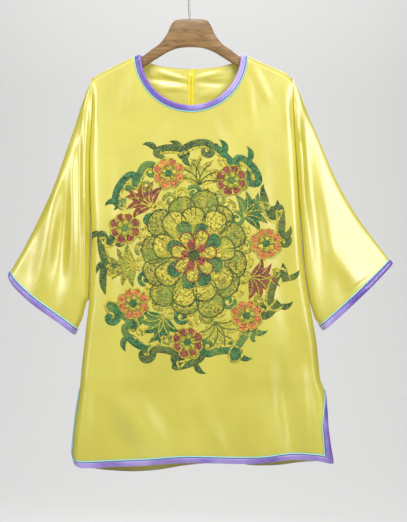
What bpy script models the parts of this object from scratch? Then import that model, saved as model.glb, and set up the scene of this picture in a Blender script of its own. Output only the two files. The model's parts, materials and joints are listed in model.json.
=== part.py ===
"""A satin top with kimono sleeves and bound edges, hanging on a wooden hanger.

+X is the wearer's left as the front is seen, the front faces -Y and +Z is up. The origin is the
point inside the hook that rests on a rail. Sizes are millimetres until a mesh is made.
"""

import math
from collections import namedtuple

import bmesh
import bpy
import numpy as np

MM = 0.001

# Driving dimensions.
HOOK_TO_NECK = 160.0  # from the rail down to the side of the neck
WALL = 1.2  # the satin with its seam allowances
SEAM_GAP = 0.3
BAND_WIDTH = 10.0
PIPING_WIDTH = 2.8
BAND_THICK = 0.9
PIPING_THICK = 1.9
NECK_RADIUS = 95.0
FRONT_NECK_DEPTH = 96.5
BACK_NECK_DEPTH = 24.0
SHOULDER_ROLL = 12.0  # how far below the ridge the cloth has turned to hang
EDGE_ROLL = 16.0  # how far in from a side the cloth has turned to the front
SLIT_TOP = 633.0
UNDERARM = 285.0
CHEST = 153.0  # the highest row that lies level across the whole body
CENTRE_DRIFT = 12.0  # how far the centre of the hem hangs to the right of the zip

# Materials: colour, roughness and metallic value.
Finish = namedtuple("Finish", "colour roughness metallic")
SATIN = Finish((0.86, 0.76, 0.22), 0.35, 0.0)
LILAC = Finish((0.47, 0.33, 0.75), 0.35, 0.0)
TEAL = Finish((0.20, 0.62, 0.68), 0.40, 0.0)
ZIP_YELLOW = Finish((0.90, 0.78, 0.05), 0.50, 0.0)
WOOD = Finish((0.36, 0.20, 0.10), 0.45, 0.0)
STEEL = Finish((0.75, 0.74, 0.70), 0.25, 1.0)

# The ridge of the shoulders: how far below the side of the neck it is.
Ridge = namedtuple("Ridge", "across drop")
RIDGE = (
    Ridge(-190, 44),
    Ridge(-184, 40),
    Ridge(-171, 33.2),
    Ridge(-140, 18),
    Ridge(-109.5, 2.9),
    Ridge(-NECK_RADIUS, 0),
    Ridge(NECK_RADIUS, 0),
    Ridge(109.5, 2.9),
    Ridge(143.3, 18),
    Ridge(178.4, 33.2),
    Ridge(190, 42),
)

# The body, row by row: where its cloth turns at the left and right of the view, the right of the
# back where it swings wider, and how far the front and the back stand from the middle plane.
Body = namedtuple("Body", "drop left right right_back front back")
BODY = (
    Body(42, -187, 190, 190, 10.5, 10.5),
    Body(60, -186, 193, 193, 11, 11),
    Body(90, -186.5, 194, 194, 11.5, 12),
    Body(120, -188, 195.5, 195.5, 12, 13),
    Body(CHEST, -190, 197, 197, 13, 14),
    Body(190, -192, 199.5, 199.5, 14, 15),
    Body(262, -192, 204, 204, 16, 17),
    Body(334, -189.5, 209, 209, 18, 19),
    Body(408, -191, 215, 215, 19, 21),
    Body(470, -194, 225, 225, 20, 22),
    Body(513, -199, 233, 233, 21, 23),
    Body(541, -202, 238, 238, 21, 24),
    Body(594, -208, 243.5, 243.5, 22, 25),
    Body(617, -210, 246.5, 246.5, 23, 26),
    Body(633, -211.5, 253, 253, 23, 26.5),
    Body(668, -217, 257, 257.5, 24, 27),
    Body(703, -221.5, 258.3, 260.5, 25, 28),
    Body(740, -225, 261.5, 265.5, 26, 29.5),
    Body(757, -226, 262.5, 268, 26, 30),
    Body(770, -223.5, 263.5, 270, 26, 30.5),
    Body(800, -211, 264.5, 272, 26, 31),
)

# How far each edge stands off the middle plane, as a share of the depth of its row. Above the
# underarm it is the fold between body and sleeve. Below the top of the slits it is the slit.
Lift = namedtuple("Lift", "drop front_left front_right back_left back_right")
LIFT = (
    Lift(42, 1.0, 1.0, 1.0, 1.0),
    Lift(60, 0.92, 0.90, 0.92, 0.92),
    Lift(80, 0.70, 0.66, 0.72, 0.72),
    Lift(110, 0.45, 0.40, 0.48, 0.48),
    Lift(CHEST, 0.27, 0.24, 0.30, 0.30),
    Lift(200, 0.13, 0.12, 0.16, 0.16),
    Lift(UNDERARM, 0.0, 0.0, 0.0, 0.0),
    Lift(SLIT_TOP, 0.0, 0.0, 0.0, 0.0),
    Lift(649, 0.02, 0.30, 0.03, 0.05),
    Lift(668, 0.04, 0.58, 0.08, 0.10),
    Lift(703, 0.08, 0.86, 0.14, 0.16),
    Lift(740, 0.12, 0.92, 0.18, 0.22),
    Lift(800, 0.14, 0.95, 0.20, 0.26),
)

# The hems, which the hang of the cloth waves: across, front drop and back drop.
Hem = namedtuple("Hem", "across front back")
HEM = (
    Hem(-228, 765, 768),
    Hem(-221, 774, 777),
    Hem(-210, 778.5, 783),
    Hem(-190, 779.5, 789),
    Hem(-147, 777.5, 794.5),
    Hem(-105, 776, 795.5),
    Hem(-62, 773, 792),
    Hem(-11, 770, 784),
    Hem(50, 771, 779),
    Hem(90, 772, 780),
    Hem(118, 771.5, 784),
    Hem(144, 769.5, 784.5),
    Hem(172, 766, 783),
    Hem(207, 764, 778),
    Hem(236, 766, 776),
    Hem(256, 770, 776),
    Hem(270, 774, 777),
)

# Each sleeve: its folded top edge from the shoulder's end to the cuff, its underside from the
# underarm to the cuff, and how far the cuff bows out and where. Across is signed.
Sleeve = namedtuple("Sleeve", "name side over under bow bow_at")
Point = namedtuple("Point", "across drop")
SLEEVES = (
    Sleeve(
        "left",
        -1,
        (
            Point(-187, 42),
            Point(-195.5, 64),
            Point(-207.5, 94),
            Point(-217, 124.5),
            Point(-238, 185),
            Point(-259.5, 246),
            Point(-287, 307),
            Point(-317, 366),
            Point(-346.5, 417),
        ),
        (Point(-198.5, 470), Point(-206, 500), Point(-220.5, 530.5)),
        9.5,
        0.72,
    ),
    Sleeve(
        "right",
        1,
        (
            Point(190, 42),
            Point(203.5, 64),
            Point(215, 94),
            Point(227.5, 124.5),
            Point(247, 170),
            Point(273, 231),
            Point(306, 291.5),
            Point(349, 352.5),
            Point(383, 396),
        ),
        (Point(225.8, 470), Point(235, 500), Point(251, 522.5)),
        2.0,
        0.6,
    ),
)
SLEEVE_DEPTH = ((0.0, 10.5), (0.15, 12.0), (0.4, 15.0), (0.7, 18.0), (1.0, 20.0))

# Folds: a soft ridge (height above 0) or trough (below 0) along a line from its top to its bottom.
Fold = namedtuple("Fold", "across drop across_end drop_end half_width height")
FRONT_FOLDS = (
    Fold(-80, 60, -105, 330, 34, -2.0),
    Fold(95, 110, 130, 420, 38, -2.5),
    Fold(110, 10, 150, 95, 9, 1.6),
    Fold(20, 330, -10, 600, 46, 2.0),
    Fold(-120, 640, -44, 760, 24, 5.0),
    Fold(-170, 650, -95, 775, 26, -3.5),
    Fold(186, 560, 236, 770, 24, -9.0),
    Fold(222, 500, 251, 735, 18, 2.5),
    Fold(-196, 540, -207, 765, 15, 3.0),
    Fold(58, 600, 84, 790, 38, -4.5),
    Fold(128, 640, 146, 790, 30, 3.5),
    Fold(-201, 90, -201, 500, 6.5, 4.5),
    Fold(-211, 150, -214, 350, 8, -4.0),
    Fold(-224, 190, -222, 450, 11, 4.0),
    Fold(-238, 225, -252, 460, 13, -6.0),
    Fold(-236, 165, -292, 440, 15, 6.0),
    Fold(207, 80, 214, 330, 7, 4.0),
    Fold(216, 105, 256, 470, 14, -8.0),
    Fold(244, 160, 322, 400, 34, 7.0),
)
BACK_FOLDS = (
    Fold(-100, 60, -118, 360, 36, -3.0),
    Fold(88, 70, 112, 400, 34, -3.0),
    Fold(-30, 260, -48, 640, 30, 3.0),
    Fold(60, 420, 78, 770, 34, 5.0),
    Fold(-142, 560, -150, 795, 30, 8.0),
    Fold(-60, 620, -72, 795, 26, -6.0),
    Fold(140, 600, 160, 790, 26, 6.0),
    Fold(205, 560, 228, 785, 20, -5.0),
    Fold(-204, 100, -202, 480, 8, 4.0),
    Fold(-220, 170, -232, 450, 12, -6.0),
    Fold(-238, 170, -285, 430, 18, 6.0),
    Fold(208, 100, 224, 400, 8, 4.0),
    Fold(222, 130, 262, 450, 14, -7.0),
    Fold(246, 170, 318, 400, 26, 6.0),
)

# Where the columns of a panel stand: lengths in from each side, turns round the neck from its
# left side to its right one, and the shares of the way from the shoulder down to the chest row.
EDGE_STEPS = (0.0, BAND_WIDTH, BAND_WIDTH + PIPING_WIDTH, 21.0, 32.0)
SHOULDER_STEPS = (48.0, 64.0)
NECK_TURNS = (0.0, 2.0, 4.5, 9.0, 16.0, 27.0, 39.0, 52.0, 65.0, 78.0)
ZIP_TURN = 87.3
YOKE_SHARES = (0.0, 0.02, 0.06, 0.13, 0.25, 0.42, 0.62, 0.82, 1.0)
LEVEL_ROWS = (
    CHEST, 186.0, 219.0, 252.0, UNDERARM, 331.0, 377.0, 423.0, 470.0, 512.0, 554.0, 594.0,
    SLIT_TOP, 649.0, 668.0, 703.0, 740.0,
)  # fmt: skip
CHEST_HALF = 140.0  # where the columns from the side of the neck cross the chest row
SLEEVE_TURNS = (0.0, 42.0, 90.0)  # degrees round the rolled edge of a sleeve
SLEEVE_COLUMNS = 4  # cells across a sleeve between its rolled edges
SLEEVE_ROWS_BELOW = 3  # rows between the last one beside the body and the cuff's piping

# Zip.
ZIP_HALF_WIDTH = 4.5
ZIP_TOP = 52.0
ZIP_END = 272.0
ZIP_SLOT = 1.5
SLIDER_TOP = 39.0
SLIDER_BOTTOM = 50.0

# Hanger and hook.
ARM_THICK = 12.0
ARM_CORNER = 6.0
ARM_BELOW_RIDGE = 2.4
ARM_END = 177.0
ARM_END_ROUND = 10.0
CROWN_TOP = 68.6
WIRE = 4.0
HOOK_RADIUS = 19.0
STEM_ACROSS = -2.2
SOCKET_DEPTH = 20.0


def through(table, at, key, value):
    """A smooth curve through the table's points: cubics whose slopes are the points' own gradient."""
    knots = np.array([getattr(row, key) for row in table], float)
    values = np.array([getattr(row, value) for row in table], float)
    slopes = np.gradient(values, knots)
    at = np.clip(np.asarray(at, float), knots[0], knots[-1])
    piece = np.clip(np.searchsorted(knots, at, side="right") - 1, 0, len(knots) - 2)
    width = knots[piece + 1] - knots[piece]
    t = (at - knots[piece]) / width
    start, end = values[piece], values[piece + 1]
    lean_in, lean_out = slopes[piece] * width, slopes[piece + 1] * width
    return (
        start * (1 + 2 * t) * (1 - t) ** 2
        + lean_in * t * (1 - t) ** 2
        + end * t * t * (3 - 2 * t)
        + lean_out * t * t * (t - 1)
    )


def straight(table, at, key, value):
    """The table's points joined by straight lines."""
    knots = [getattr(row, key) for row in table]
    return np.interp(at, knots, [getattr(row, value) for row in table])


def ridge_drop(across):
    return straight(RIDGE, across, "across", "drop")


def roll_share(across, drop):
    """0 on the ridge of the shoulder, 1 once the cloth hangs: a quarter circle."""
    fallen = np.clip((drop - ridge_drop(across)) / SHOULDER_ROLL, 0, 1)
    return np.sqrt(1 - (1 - fallen) ** 2)


def fold_relief(folds, across, drop):
    """The sum of the folds: each is a cosine bump across its line, eased in and out at its ends."""
    relief = np.zeros_like(across)
    for fold in folds:
        run = np.array([fold.across_end - fold.across, fold.drop_end - fold.drop], float)
        length = np.hypot(*run)
        along = ((across - fold.across) * run[0] + (drop - fold.drop) * run[1]) / length**2
        aside = ((across - fold.across) * run[1] - (drop - fold.drop) * run[0]) / length
        bump = 0.5 + 0.5 * np.cos(np.pi * np.clip(aside / (1.6 * fold.half_width), -1, 1))
        ends = np.sin(np.pi * np.clip(0.5 + (along - 0.5) * 0.82, 0, 1)) ** 1.5
        relief += fold.height * bump * ends
    return relief


def rolled_edge(steps, depth):
    """The way in and the share of the depth at each length along a rolled edge, row by row.

    The edge is a quarter ellipse EDGE_ROLL wide and as deep as the row, then flat cloth.
    """
    turn = np.linspace(0, np.pi / 2, 61)
    ways, shares = [], []
    for row_depth in depth:
        way = EDGE_ROLL * (1 - np.cos(turn))
        rise = row_depth * np.sin(turn)
        length = np.concatenate([[0], np.cumsum(np.hypot(np.diff(way), np.diff(rise)))])
        beyond = np.maximum(np.asarray(steps) - length[-1], 0)
        ways.append(np.interp(steps, length, way) + beyond)
        shares.append(np.sin(np.interp(steps, length, turn)))
    return np.array(ways), np.array(shares)


def edge_gap(drop, share):
    """The least distance from the middle plane: half a seam gap, and a wall more where front and
    back meet in the fold above the underarm."""
    return SEAM_GAP / 2 + np.where(drop <= UNDERARM, WALL * (1 - share), 0)


def neck_turns(front):
    """Degrees round the neck for each column, 0 at the left of the view and 180 at the right."""
    half = list(NECK_TURNS) + ([] if front else [ZIP_TURN])
    return np.array(half + [90.0] + [180.0 - turn for turn in reversed(half)])


def neck_line(turns, front, out):
    """The neck's edge moved out into the cloth: half an ellipse in front and behind."""
    angle = np.radians(turns)
    depth = FRONT_NECK_DEPTH if front else BACK_NECK_DEPTH
    across, drop = -NECK_RADIUS * np.cos(angle), depth * np.sin(angle)
    normal = np.stack([-np.cos(angle) / NECK_RADIUS, np.sin(angle) / depth])
    normal /= np.hypot(*normal)
    across, drop = across + out * normal[0], drop + out * normal[1]
    at_ridge = np.abs(np.cos(angle)) ** 12
    return across, drop * (1 - at_ridge) + np.maximum(drop, ridge_drop(across)) * at_ridge


def surface(across, drop, share, front):
    """The outer face's distance from the middle plane, signed."""
    table, folds = ("front", FRONT_FOLDS) if front else ("back", BACK_FOLDS)
    gap = edge_gap(drop, share)
    depth = through(BODY, drop, "drop", table)
    roll = roll_share(across, drop)
    relief = fold_relief(folds, across, drop) * roll * share**2
    away = np.maximum(gap + roll * share * (depth - gap) + relief, gap)
    return -away if front else away


def body_grid(front):
    """Rows and columns of points on the outer face of the front or of the whole back."""
    table = "front" if front else "back"
    turns = neck_turns(front)
    neck_across, neck_drop = neck_line(turns, front, BAND_WIDTH + PIPING_WIDTH)
    chest_mid = CHEST_HALF * (turns / 90 - 1)
    if not front:
        chest_mid[len(NECK_TURNS)] = -ZIP_HALF_WIDTH
        chest_mid[-len(NECK_TURNS) - 1] = ZIP_HALF_WIDTH

    side_drops = np.array(
        [BODY[0].drop + share * (CHEST - BODY[0].drop) for share in YOKE_SHARES]
        + list(LEVEL_ROWS[1:])
        + [0, 0, 0]
    )
    hem_mid = 780.0
    side_drops[-3:] = hem_mid - np.array([BAND_WIDTH + PIPING_WIDTH, BAND_WIDTH, 0])
    depth = through(BODY, side_drops, "drop", table)
    lifts = [straight(LIFT, side_drops, "drop", f"{table}_{side}") for side in ("left", "right")]
    edges = [rolled_edge(EDGE_STEPS, (1 - lift) * depth) for lift in lifts]
    left = through(BODY, side_drops, "drop", "left")
    right = through(BODY, side_drops, "drop", "right" if front else "right_back")

    left_across = left[:, None] + edges[0][0]
    right_across = (right[:, None] - edges[1][0])[:, ::-1]
    start, end = left_across[:, -1:], right_across[:, :1]
    chest = len(YOKE_SHARES) - 1
    out = (SHOULDER_STEPS[0] - EDGE_STEPS[-1]) / (
        BODY[0].right - EDGE_STEPS[-1] - neck_across[-1]
    )
    flats = np.array([out, 0.5 + out / 2])
    chest_left = start[chest] + flats * (chest_mid[0] - start[chest])
    chest_right = end[chest] - flats * (end[chest] - chest_mid[-1])
    middle = np.concatenate([chest_left, chest_mid, chest_right[::-1]])
    hung = np.clip((side_drops[:, None] - CHEST) / (780 - CHEST), 0, 1)
    centre = CENTRE_DRIFT * hung**2 * (3 - 2 * hung)
    to_left = np.clip(middle / start[chest], 0, None) * (start - centre)
    to_right = np.clip(middle / end[chest], 0, None) * (end - centre)
    across = np.hstack([left_across, centre + to_left + to_right, right_across])

    top_left = BODY[0].left + np.array(EDGE_STEPS)
    top_right = BODY[0].right - np.array(EDGE_STEPS)[::-1]
    top_flat_left = top_left[-1] + flats * (neck_across[0] - top_left[-1])
    top_flat_right = top_right[0] - flats * (top_right[0] - neck_across[-1])
    top = np.concatenate([top_left, top_flat_left, neck_across, top_flat_right[::-1], top_right])
    top_drop = ridge_drop(top)
    top_drop[[0, -1]] = BODY[0].drop
    first_neck = len(EDGE_STEPS) + len(SHOULDER_STEPS)
    top_drop[first_neck : first_neck + len(turns)] = neck_drop

    drop = np.repeat(side_drops[:, None], across.shape[1], axis=1)
    for row, share in enumerate(YOKE_SHARES):
        down = share**0.6 if row else 0.0
        side = across[row, [0, -1]].copy()
        across[row] = top + down * (across[chest] - top)
        drop[row] = top_drop + share * (CHEST - top_drop)
        across[row, [0, -1]] = side
    hem = through(HEM, across[-1], "across", table)
    drop[-3:] = hem - np.array([BAND_WIDTH + PIPING_WIDTH, BAND_WIDTH, 0])[:, None]

    share = np.ones_like(across)
    shares_left = lifts[0][:, None] + (1 - lifts[0][:, None]) * edges[0][1]
    shares_right = lifts[1][:, None] + (1 - lifts[1][:, None]) * edges[1][1]
    share[:, : len(EDGE_STEPS)] = shares_left
    share[:, -len(EDGE_STEPS) :] = shares_right[:, ::-1]
    away = surface(across, drop, share, front)
    away[0, [0, -1]] = (-1 if front else 1) * SEAM_GAP / 2
    return np.stack([across, away, drop], axis=-1)


def neck_grid(front):
    """Three rows round the neck: its edge, the seam of band and piping, and the piping's far side."""
    turns = neck_turns(front)
    rows = []
    for out in (0.0, BAND_WIDTH, BAND_WIDTH + PIPING_WIDTH):
        across, drop = neck_line(turns, front, out)
        away = surface(across, drop, np.ones_like(across), front)
        rows.append(np.stack([across, away, drop], axis=-1))
    return np.array(rows)


def along_line(points, share):
    """The place at a share of the length of a smooth line through the points."""
    knots = np.array(points, float)
    steps = np.concatenate([[0], np.cumsum(np.hypot(*np.diff(knots, axis=0).T))])
    stations = [namedtuple("Station", "at across drop")(s, *p) for s, p in zip(steps, knots)]
    at = np.asarray(share) * steps[-1]
    across = through(stations, at, "at", "across")
    return np.stack([across, through(stations, at, "at", "drop")], axis=-1), steps[-1]


def sleeve_rows(sleeve, body):
    """The share of the way down the sleeve of each row, and whether the body has that row too."""
    column = 0 if sleeve.side < 0 else -1
    edge = body[:, column]
    shared = [row for row in range(len(edge)) if edge[row, 2] <= sleeve.under[0].drop + 0.01]
    under = [tuple(edge[row, [0, 2]]) for row in shared[:-1]]
    beside = [
        (across + sleeve.side * 0.7 * (drop > UNDERARM + 1), drop) for across, drop in under
    ]
    line = beside + [tuple(point) for point in sleeve.under]
    knots = np.array(line, float)
    steps = np.concatenate([[0], np.cumsum(np.hypot(*np.diff(knots, axis=0).T))])
    length = steps[-1]
    cuff = [
        1 - (BAND_WIDTH + PIPING_WIDTH) * 1.06 / length,
        1 - BAND_WIDTH * 1.06 / length,
        1.0,
    ]
    last_beside = steps[len(beside)] / length
    between = np.linspace(last_beside, cuff[0], SLEEVE_ROWS_BELOW + 1)[1:-1]
    shares = np.concatenate([steps[: len(beside) + 1] / length, between, cuff])
    inner = np.stack([np.interp(shares * length, steps, knots[:, k]) for k in (0, 1)], axis=-1)
    return shares, inner, edge


def sleeve_grid(sleeve, body, front):
    """Rows from the shoulder's end to the cuff, columns from the underside to the folded top."""
    shares, inner, edge = sleeve_rows(sleeve, body)
    outer, _ = along_line(sleeve.over, shares)
    chord = outer - inner
    width = np.hypot(*chord.T)
    turn = np.radians(SLEEVE_TURNS)
    roll = np.minimum(14.0, 0.3 * width)
    near = roll[:, None] * (1 - np.cos(turn)) / np.maximum(width[:, None], 1e-6)
    flat = np.linspace(0, 1, SLEEVE_COLUMNS + 1)[1:-1]
    middle = near[:, -1:] + flat * (1 - 2 * near[:, -1:])
    place = np.hstack([near, middle, 1 - near[:, ::-1]])
    bow = sleeve.bow * shares[:, None] ** 6 * bow_shape(place, sleeve.bow_at)
    points = inner[:, None, :] + place[..., None] * chord[:, None, :]
    normal = np.stack([-chord[:, 1], chord[:, 0]], axis=-1) / np.maximum(width, 1e-6)[:, None]
    normal *= np.where(normal[:, 1:] < 0, -1, 1)
    points = points + bow[..., None] * normal[:, None, :]

    gap = np.full(len(shares), SEAM_GAP / 2)
    knots, depths = zip(*SLEEVE_DEPTH)
    depth = np.interp(shares, knots, depths) - gap
    column = 0 if sleeve.side < 0 else -1
    attached = inner[:, 1] <= UNDERARM + 0.01
    body_away = np.abs(edge[: attached.sum(), 1]) - gap[attached]
    lift = np.zeros(len(shares))
    lift[attached] = np.clip(body_away / depth[attached], 0, 1)
    rising = np.ones_like(place)
    rising[:, : len(turn)] = lift[:, None] + (1 - lift[:, None]) * np.sin(turn)
    rising[:, -len(turn) :] *= np.sin(turn)[::-1]
    folds = FRONT_FOLDS if front else BACK_FOLDS
    relief = fold_relief(folds, points[..., 0], points[..., 1])
    ease = rising**2 * np.clip(shares * 8, 0, 1)[:, None]
    ease[:, 0] *= 0
    gaps = gap[:, None] * np.linspace(1, 0, place.shape[1]) + SEAM_GAP / 2 * np.linspace(
        0, 1, place.shape[1]
    )
    away = gaps + rising * depth[:, None] + relief * ease
    away = -away if front else away
    grid = np.stack([points[..., 0], away, points[..., 1]], axis=-1)
    grid[: attached.sum(), 0] = edge[: attached.sum()]
    return grid


def bow_shape(place, peak):
    """0 at both ends of the cuff and 1 at the peak: a cubic whose middle is moved to the peak."""
    power = math.log(0.5) / math.log(peak)
    return 1 - np.abs(2 * np.clip(place, 0, 1) ** power - 1) ** 3


class Sheet:
    """Triangles over grids of points, with points that coincide made one.

    A point is its place, and after that its normal where the grid carries one.
    """

    def __init__(self):
        self.points, self.index, self.faces = [], {}, []

    def point(self, values):
        key = tuple(np.round(values[:3], 4))
        if key not in self.index:
            self.index[key] = len(self.points)
            self.points.append([float(value) for value in values])
        return self.index[key]

    def triangle(self, a, b, c, turned):
        corners = [self.point(a), self.point(b), self.point(c)]
        if len(set(corners)) == 3:
            self.faces.append(corners[::-1] if turned else corners)

    def cells(self, grid, rows, columns, turned):
        for row in rows:
            for column in columns:
                a, b = grid[row, column], grid[row, column + 1]
                c, d = grid[row + 1, column + 1], grid[row + 1, column]
                self.triangle(a, d, c, turned)
                self.triangle(a, c, b, turned)

    def normals(self):
        """A unit normal at each point, from the faces round it. Drop runs down, so the cross
        product is taken the other way round."""
        points, faces = np.array(self.points)[:, :3], np.array(self.faces)
        corners = points[faces]
        across = np.cross(corners[:, 2] - corners[:, 0], corners[:, 1] - corners[:, 0])
        total = np.zeros_like(points)
        for corner in range(3):
            before, after = corners[:, corner - 1], corners[:, (corner + 1) % 3]
            one, two = before - corners[:, corner], after - corners[:, corner]
            cosine = (one * two).sum(1) / np.linalg.norm(one, axis=1) / np.linalg.norm(two, axis=1)
            angle = np.arccos(np.clip(cosine, -1, 1))
            size = np.linalg.norm(across, axis=1)
            np.add.at(total, faces[:, corner], across * (angle / size)[:, None])
        return total / np.linalg.norm(total, axis=1)[:, None]

    def with_normals(self, grid):
        """The grid again, each point with its normal; one that no triangle uses gets any."""
        normals = self.normals()
        where = [self.index.get(tuple(np.round(place, 4)), 0) for place in grid.reshape(-1, 3)]
        return np.concatenate([grid, normals[where].reshape(grid.shape)], axis=-1)


def material(name, finish):
    made = bpy.data.materials.get(name) or bpy.data.materials.new(name)
    made.use_nodes = True
    shader = made.node_tree.nodes["Principled BSDF"]
    shader.inputs["Base Color"].default_value = (*finish.colour, 1)
    shader.inputs["Roughness"].default_value = finish.roughness
    shader.inputs["Metallic"].default_value = finish.metallic
    made.diffuse_color = (*finish.colour, 1)
    return made


def place_in_frame(points):
    """Across, away and drop in millimetres to the part's X, Y and Z in metres."""
    points = np.asarray(points, float)
    return [(x * MM, y * MM, -(HOOK_TO_NECK + drop) * MM) for x, y, drop in points]


def add_object(name, mesh, finish_name, finish, smooth=True):
    mesh.materials.append(material(finish_name, finish))
    if smooth:
        mesh.shade_smooth()
        mesh.set_sharp_from_angle(angle=math.radians(40))
    made = bpy.data.objects.new(name, mesh)
    bpy.context.scene.collection.objects.link(made)
    return made


def cloth(name, sheet, near, far, finish_name, finish):
    """The solid between two distances from a sheet, along the normals of its points.

    A distance below 0 is inside the garment, where no point crosses the middle plane.
    """
    points = np.array(sheet.points)
    layers = []
    for distance in (far, near):
        layer = points[:, :3] + points[:, 3:] * distance
        if distance < 0:
            side = np.where(points[:, 1] < 0, -1, 1)
            layer[:, 1] = side * np.maximum(side * layer[:, 1], SEAM_GAP / 2)
        layers.append(layer)
    count, faces = len(points), list(sheet.faces)
    used = {}
    for face in sheet.faces:
        for k in range(3):
            used[(face[k], face[(k + 1) % 3])] = face
    solid = faces + [[v + count for v in face[::-1]] for face in faces]
    for start, end in used:
        if (end, start) not in used:
            solid += [[end, start, start + count], [end, start + count, end + count]]
    mesh = bpy.data.meshes.new(name)
    mesh.from_pydata(place_in_frame(np.concatenate(layers)), [], solid)
    return add_object(name, mesh, finish_name, finish)


def sleeve_cells(sheet, side, grid, body, turned):
    """Adds a sleeve's cells: a fan at the shoulder's end that keeps the body's edge points, then
    rows of cells."""
    first = YOKE_SHARES.index(0.13)
    column = 0 if side < 0 else -1
    turned = turned if side > 0 else not turned
    tip = grid[0, 0]
    for row in range(first):
        sheet.triangle(body[row, column], body[row + 1, column], grid[first, 1], turned)
    for c in range(1, grid.shape[1] - 1):
        sheet.triangle(tip, grid[first, c], grid[first, c + 1], turned)
    sheet.cells(grid, range(first, len(grid) - 1), range(grid.shape[1] - 1), turned)


def panel(grids, columns, neck_columns, front):
    """A sheet over the body's and neck's columns and the sleeves that the grids hold."""
    sheet = Sheet()
    body, neck = grids["body"], grids["neck"]
    sheet.cells(body, range(len(body) - 1), columns, not front)
    sheet.cells(neck, range(len(neck) - 1), neck_columns, not front)
    for side in (-1, 1):
        if side in grids:
            sleeve_cells(sheet, side, grids[side], body, not front)
    return sheet


def whole_panel(front):
    """The grids of the front or of the whole back, each point with its normal."""
    body = body_grid(front)
    grids = {"body": body, "neck": neck_grid(front)}
    for sleeve in SLEEVES:
        grids[sleeve.side] = sleeve_grid(sleeve, body, front)
    columns, neck_columns = range(body.shape[1] - 1), range(grids["neck"].shape[1] - 1)
    sheet = panel(grids, columns, neck_columns, front)
    return {key: sheet.with_normals(grid) for key, grid in grids.items()}


def beside_zip(grid, side):
    """The grid with its middle column moved to one side of the centre-back seam or zip slot."""
    half, middle = grid.copy(), grid.shape[1] // 2
    slot = np.where(half[:, middle, 2] < ZIP_TOP + 2, ZIP_SLOT / 2, SEAM_GAP / 2)
    half[:, middle, 0] += side * slot
    return half


def half_back(back, side):
    grids = {key: beside_zip(back[key], side) for key in ("body", "neck")}
    grids[side] = back[side]
    halves = []
    for key in ("body", "neck"):
        last, middle = grids[key].shape[1] - 1, grids[key].shape[1] // 2
        halves.append(range(middle) if side < 0 else range(middle, last))
    return panel(grids, *halves, False)


def part_way(grid, index, towards, axis):
    """Moves a line of points a little towards its neighbour, which leaves a seam gap behind it."""
    share = 1.6 * SEAM_GAP / PIPING_WIDTH
    moved = np.moveaxis(grid, axis, 0)
    moved[index] += share * (moved[towards] - moved[index])


def neck_trim(front, back, step):
    """One strip round the neck, from one side of the zip round the front to the other side."""
    front, left, right = front.copy(), beside_zip(back, -1), beside_zip(back, 1)
    if step:
        for grid in (front, left, right):
            part_way(grid, 1, 2, 0)
    last, middle = back.shape[1] - 1, back.shape[1] // 2
    sheet = Sheet()
    sheet.cells(front, [step], range(front.shape[1] - 1), False)
    sheet.cells(left, [step], range(middle), True)
    sheet.cells(right, [step], range(middle, last), True)
    over_ridge = (left[:, 0], front[:, 0]), (front[:, -1], right[:, -1])
    for pair in over_ridge:
        sheet.cells(np.stack(pair, axis=1), [step], [0], False)
    return sheet


def hem_trim(body, front, step):
    """The strip along the hem that turns up both slits; step 0 is the band and 1 the piping."""
    grid = body.copy()
    if step:
        part_way(grid, -2, -3, 0)
        part_way(grid, 1, 2, 1)
        part_way(grid, -2, -3, 1)
    slit = len(YOKE_SHARES) - 1 + LEVEL_ROWS.index(SLIT_TOP)
    last = len(grid) - 2 - step
    ends = (step, grid.shape[1] - 2 - step)
    sheet = Sheet()
    sheet.cells(grid, range(slit, last), ends, not front)
    sheet.cells(grid, [last], range(ends[0], ends[1] + 1), not front)
    return sheet


def cuff_trim(front, back, side, step):
    """A ring round the sleeve's end. Its two folds lie on the middle plane."""
    front, back = front.copy(), back.copy()
    folds = (front[:, [0, -1], :3] + back[:, [0, -1], :3]) / 2
    chord = folds[:, 1] - folds[:, 0]
    chord /= np.maximum(np.linalg.norm(chord, axis=1), 1e-9)[:, None]
    sheet = Sheet()
    for grid in (front, back):
        for column, way in ((0, -1), (-1, 1)):
            grid[:, column, :3], grid[:, column, 3:] = folds[:, column], way * chord
        if step:
            part_way(grid, -2, -3, 0)
    for grid, turned in ((front, side < 0), (back, side > 0)):
        sheet.cells(grid, [len(grid) - 2 - step], range(grid.shape[1] - 1), turned)
    return sheet


def zip_strip(body):
    """The coil and its tape on the inside of the centre back, over the panel's own points."""
    middle = body.shape[1] // 2
    rows = [r for r in range(len(body)) if ZIP_TOP - 1 <= body[r, middle, 2] <= ZIP_END]
    sheet = Sheet()
    sheet.cells(body, rows[:-1], (middle - 1, middle), True)
    return sheet


def box_mesh(boxes):
    """Boxes given by their corners, joined where they share faces by a union."""
    mesh = bmesh.new()
    for low, high in boxes:
        made = bmesh.ops.create_cube(mesh, size=1)
        for vertex in made["verts"]:
            for axis in range(3):
                share = vertex.co[axis] + 0.5
                vertex.co[axis] = low[axis] + share * (high[axis] - low[axis])
    return mesh


def arm_edges(across):
    """The top and bottom of the hanger at a distance from its middle, as heights above the neck."""
    Outline = namedtuple("Outline", "out top bottom")
    outline = (
        Outline(0, CROWN_TOP, 15),
        Outline(14, CROWN_TOP - 0.1, 14.3),
        Outline(26, CROWN_TOP - 1.2, 12.4),
        Outline(33, CROWN_TOP - 4.5, 10.0),
        Outline(38, 57, 8.2),
        Outline(43.5, 44.5, 5.8),
        Outline(55, 27, -1),
        Outline(75, 11.0, -13.5),
        Outline(96, -3.6, -26),
        Outline(108, -6.0, -32.5),
        Outline(125, -10.5 - ARM_BELOW_RIDGE, -41),
        Outline(140, -18 - ARM_BELOW_RIDGE, -47.5),
        Outline(171, -33.2 - ARM_BELOW_RIDGE, -59.5),
        Outline(ARM_END, -36.3 - ARM_BELOW_RIDGE, -62),
    )
    out = np.abs(across)
    return through(outline, out, "out", "top"), through(outline, out, "out", "bottom")


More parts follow.
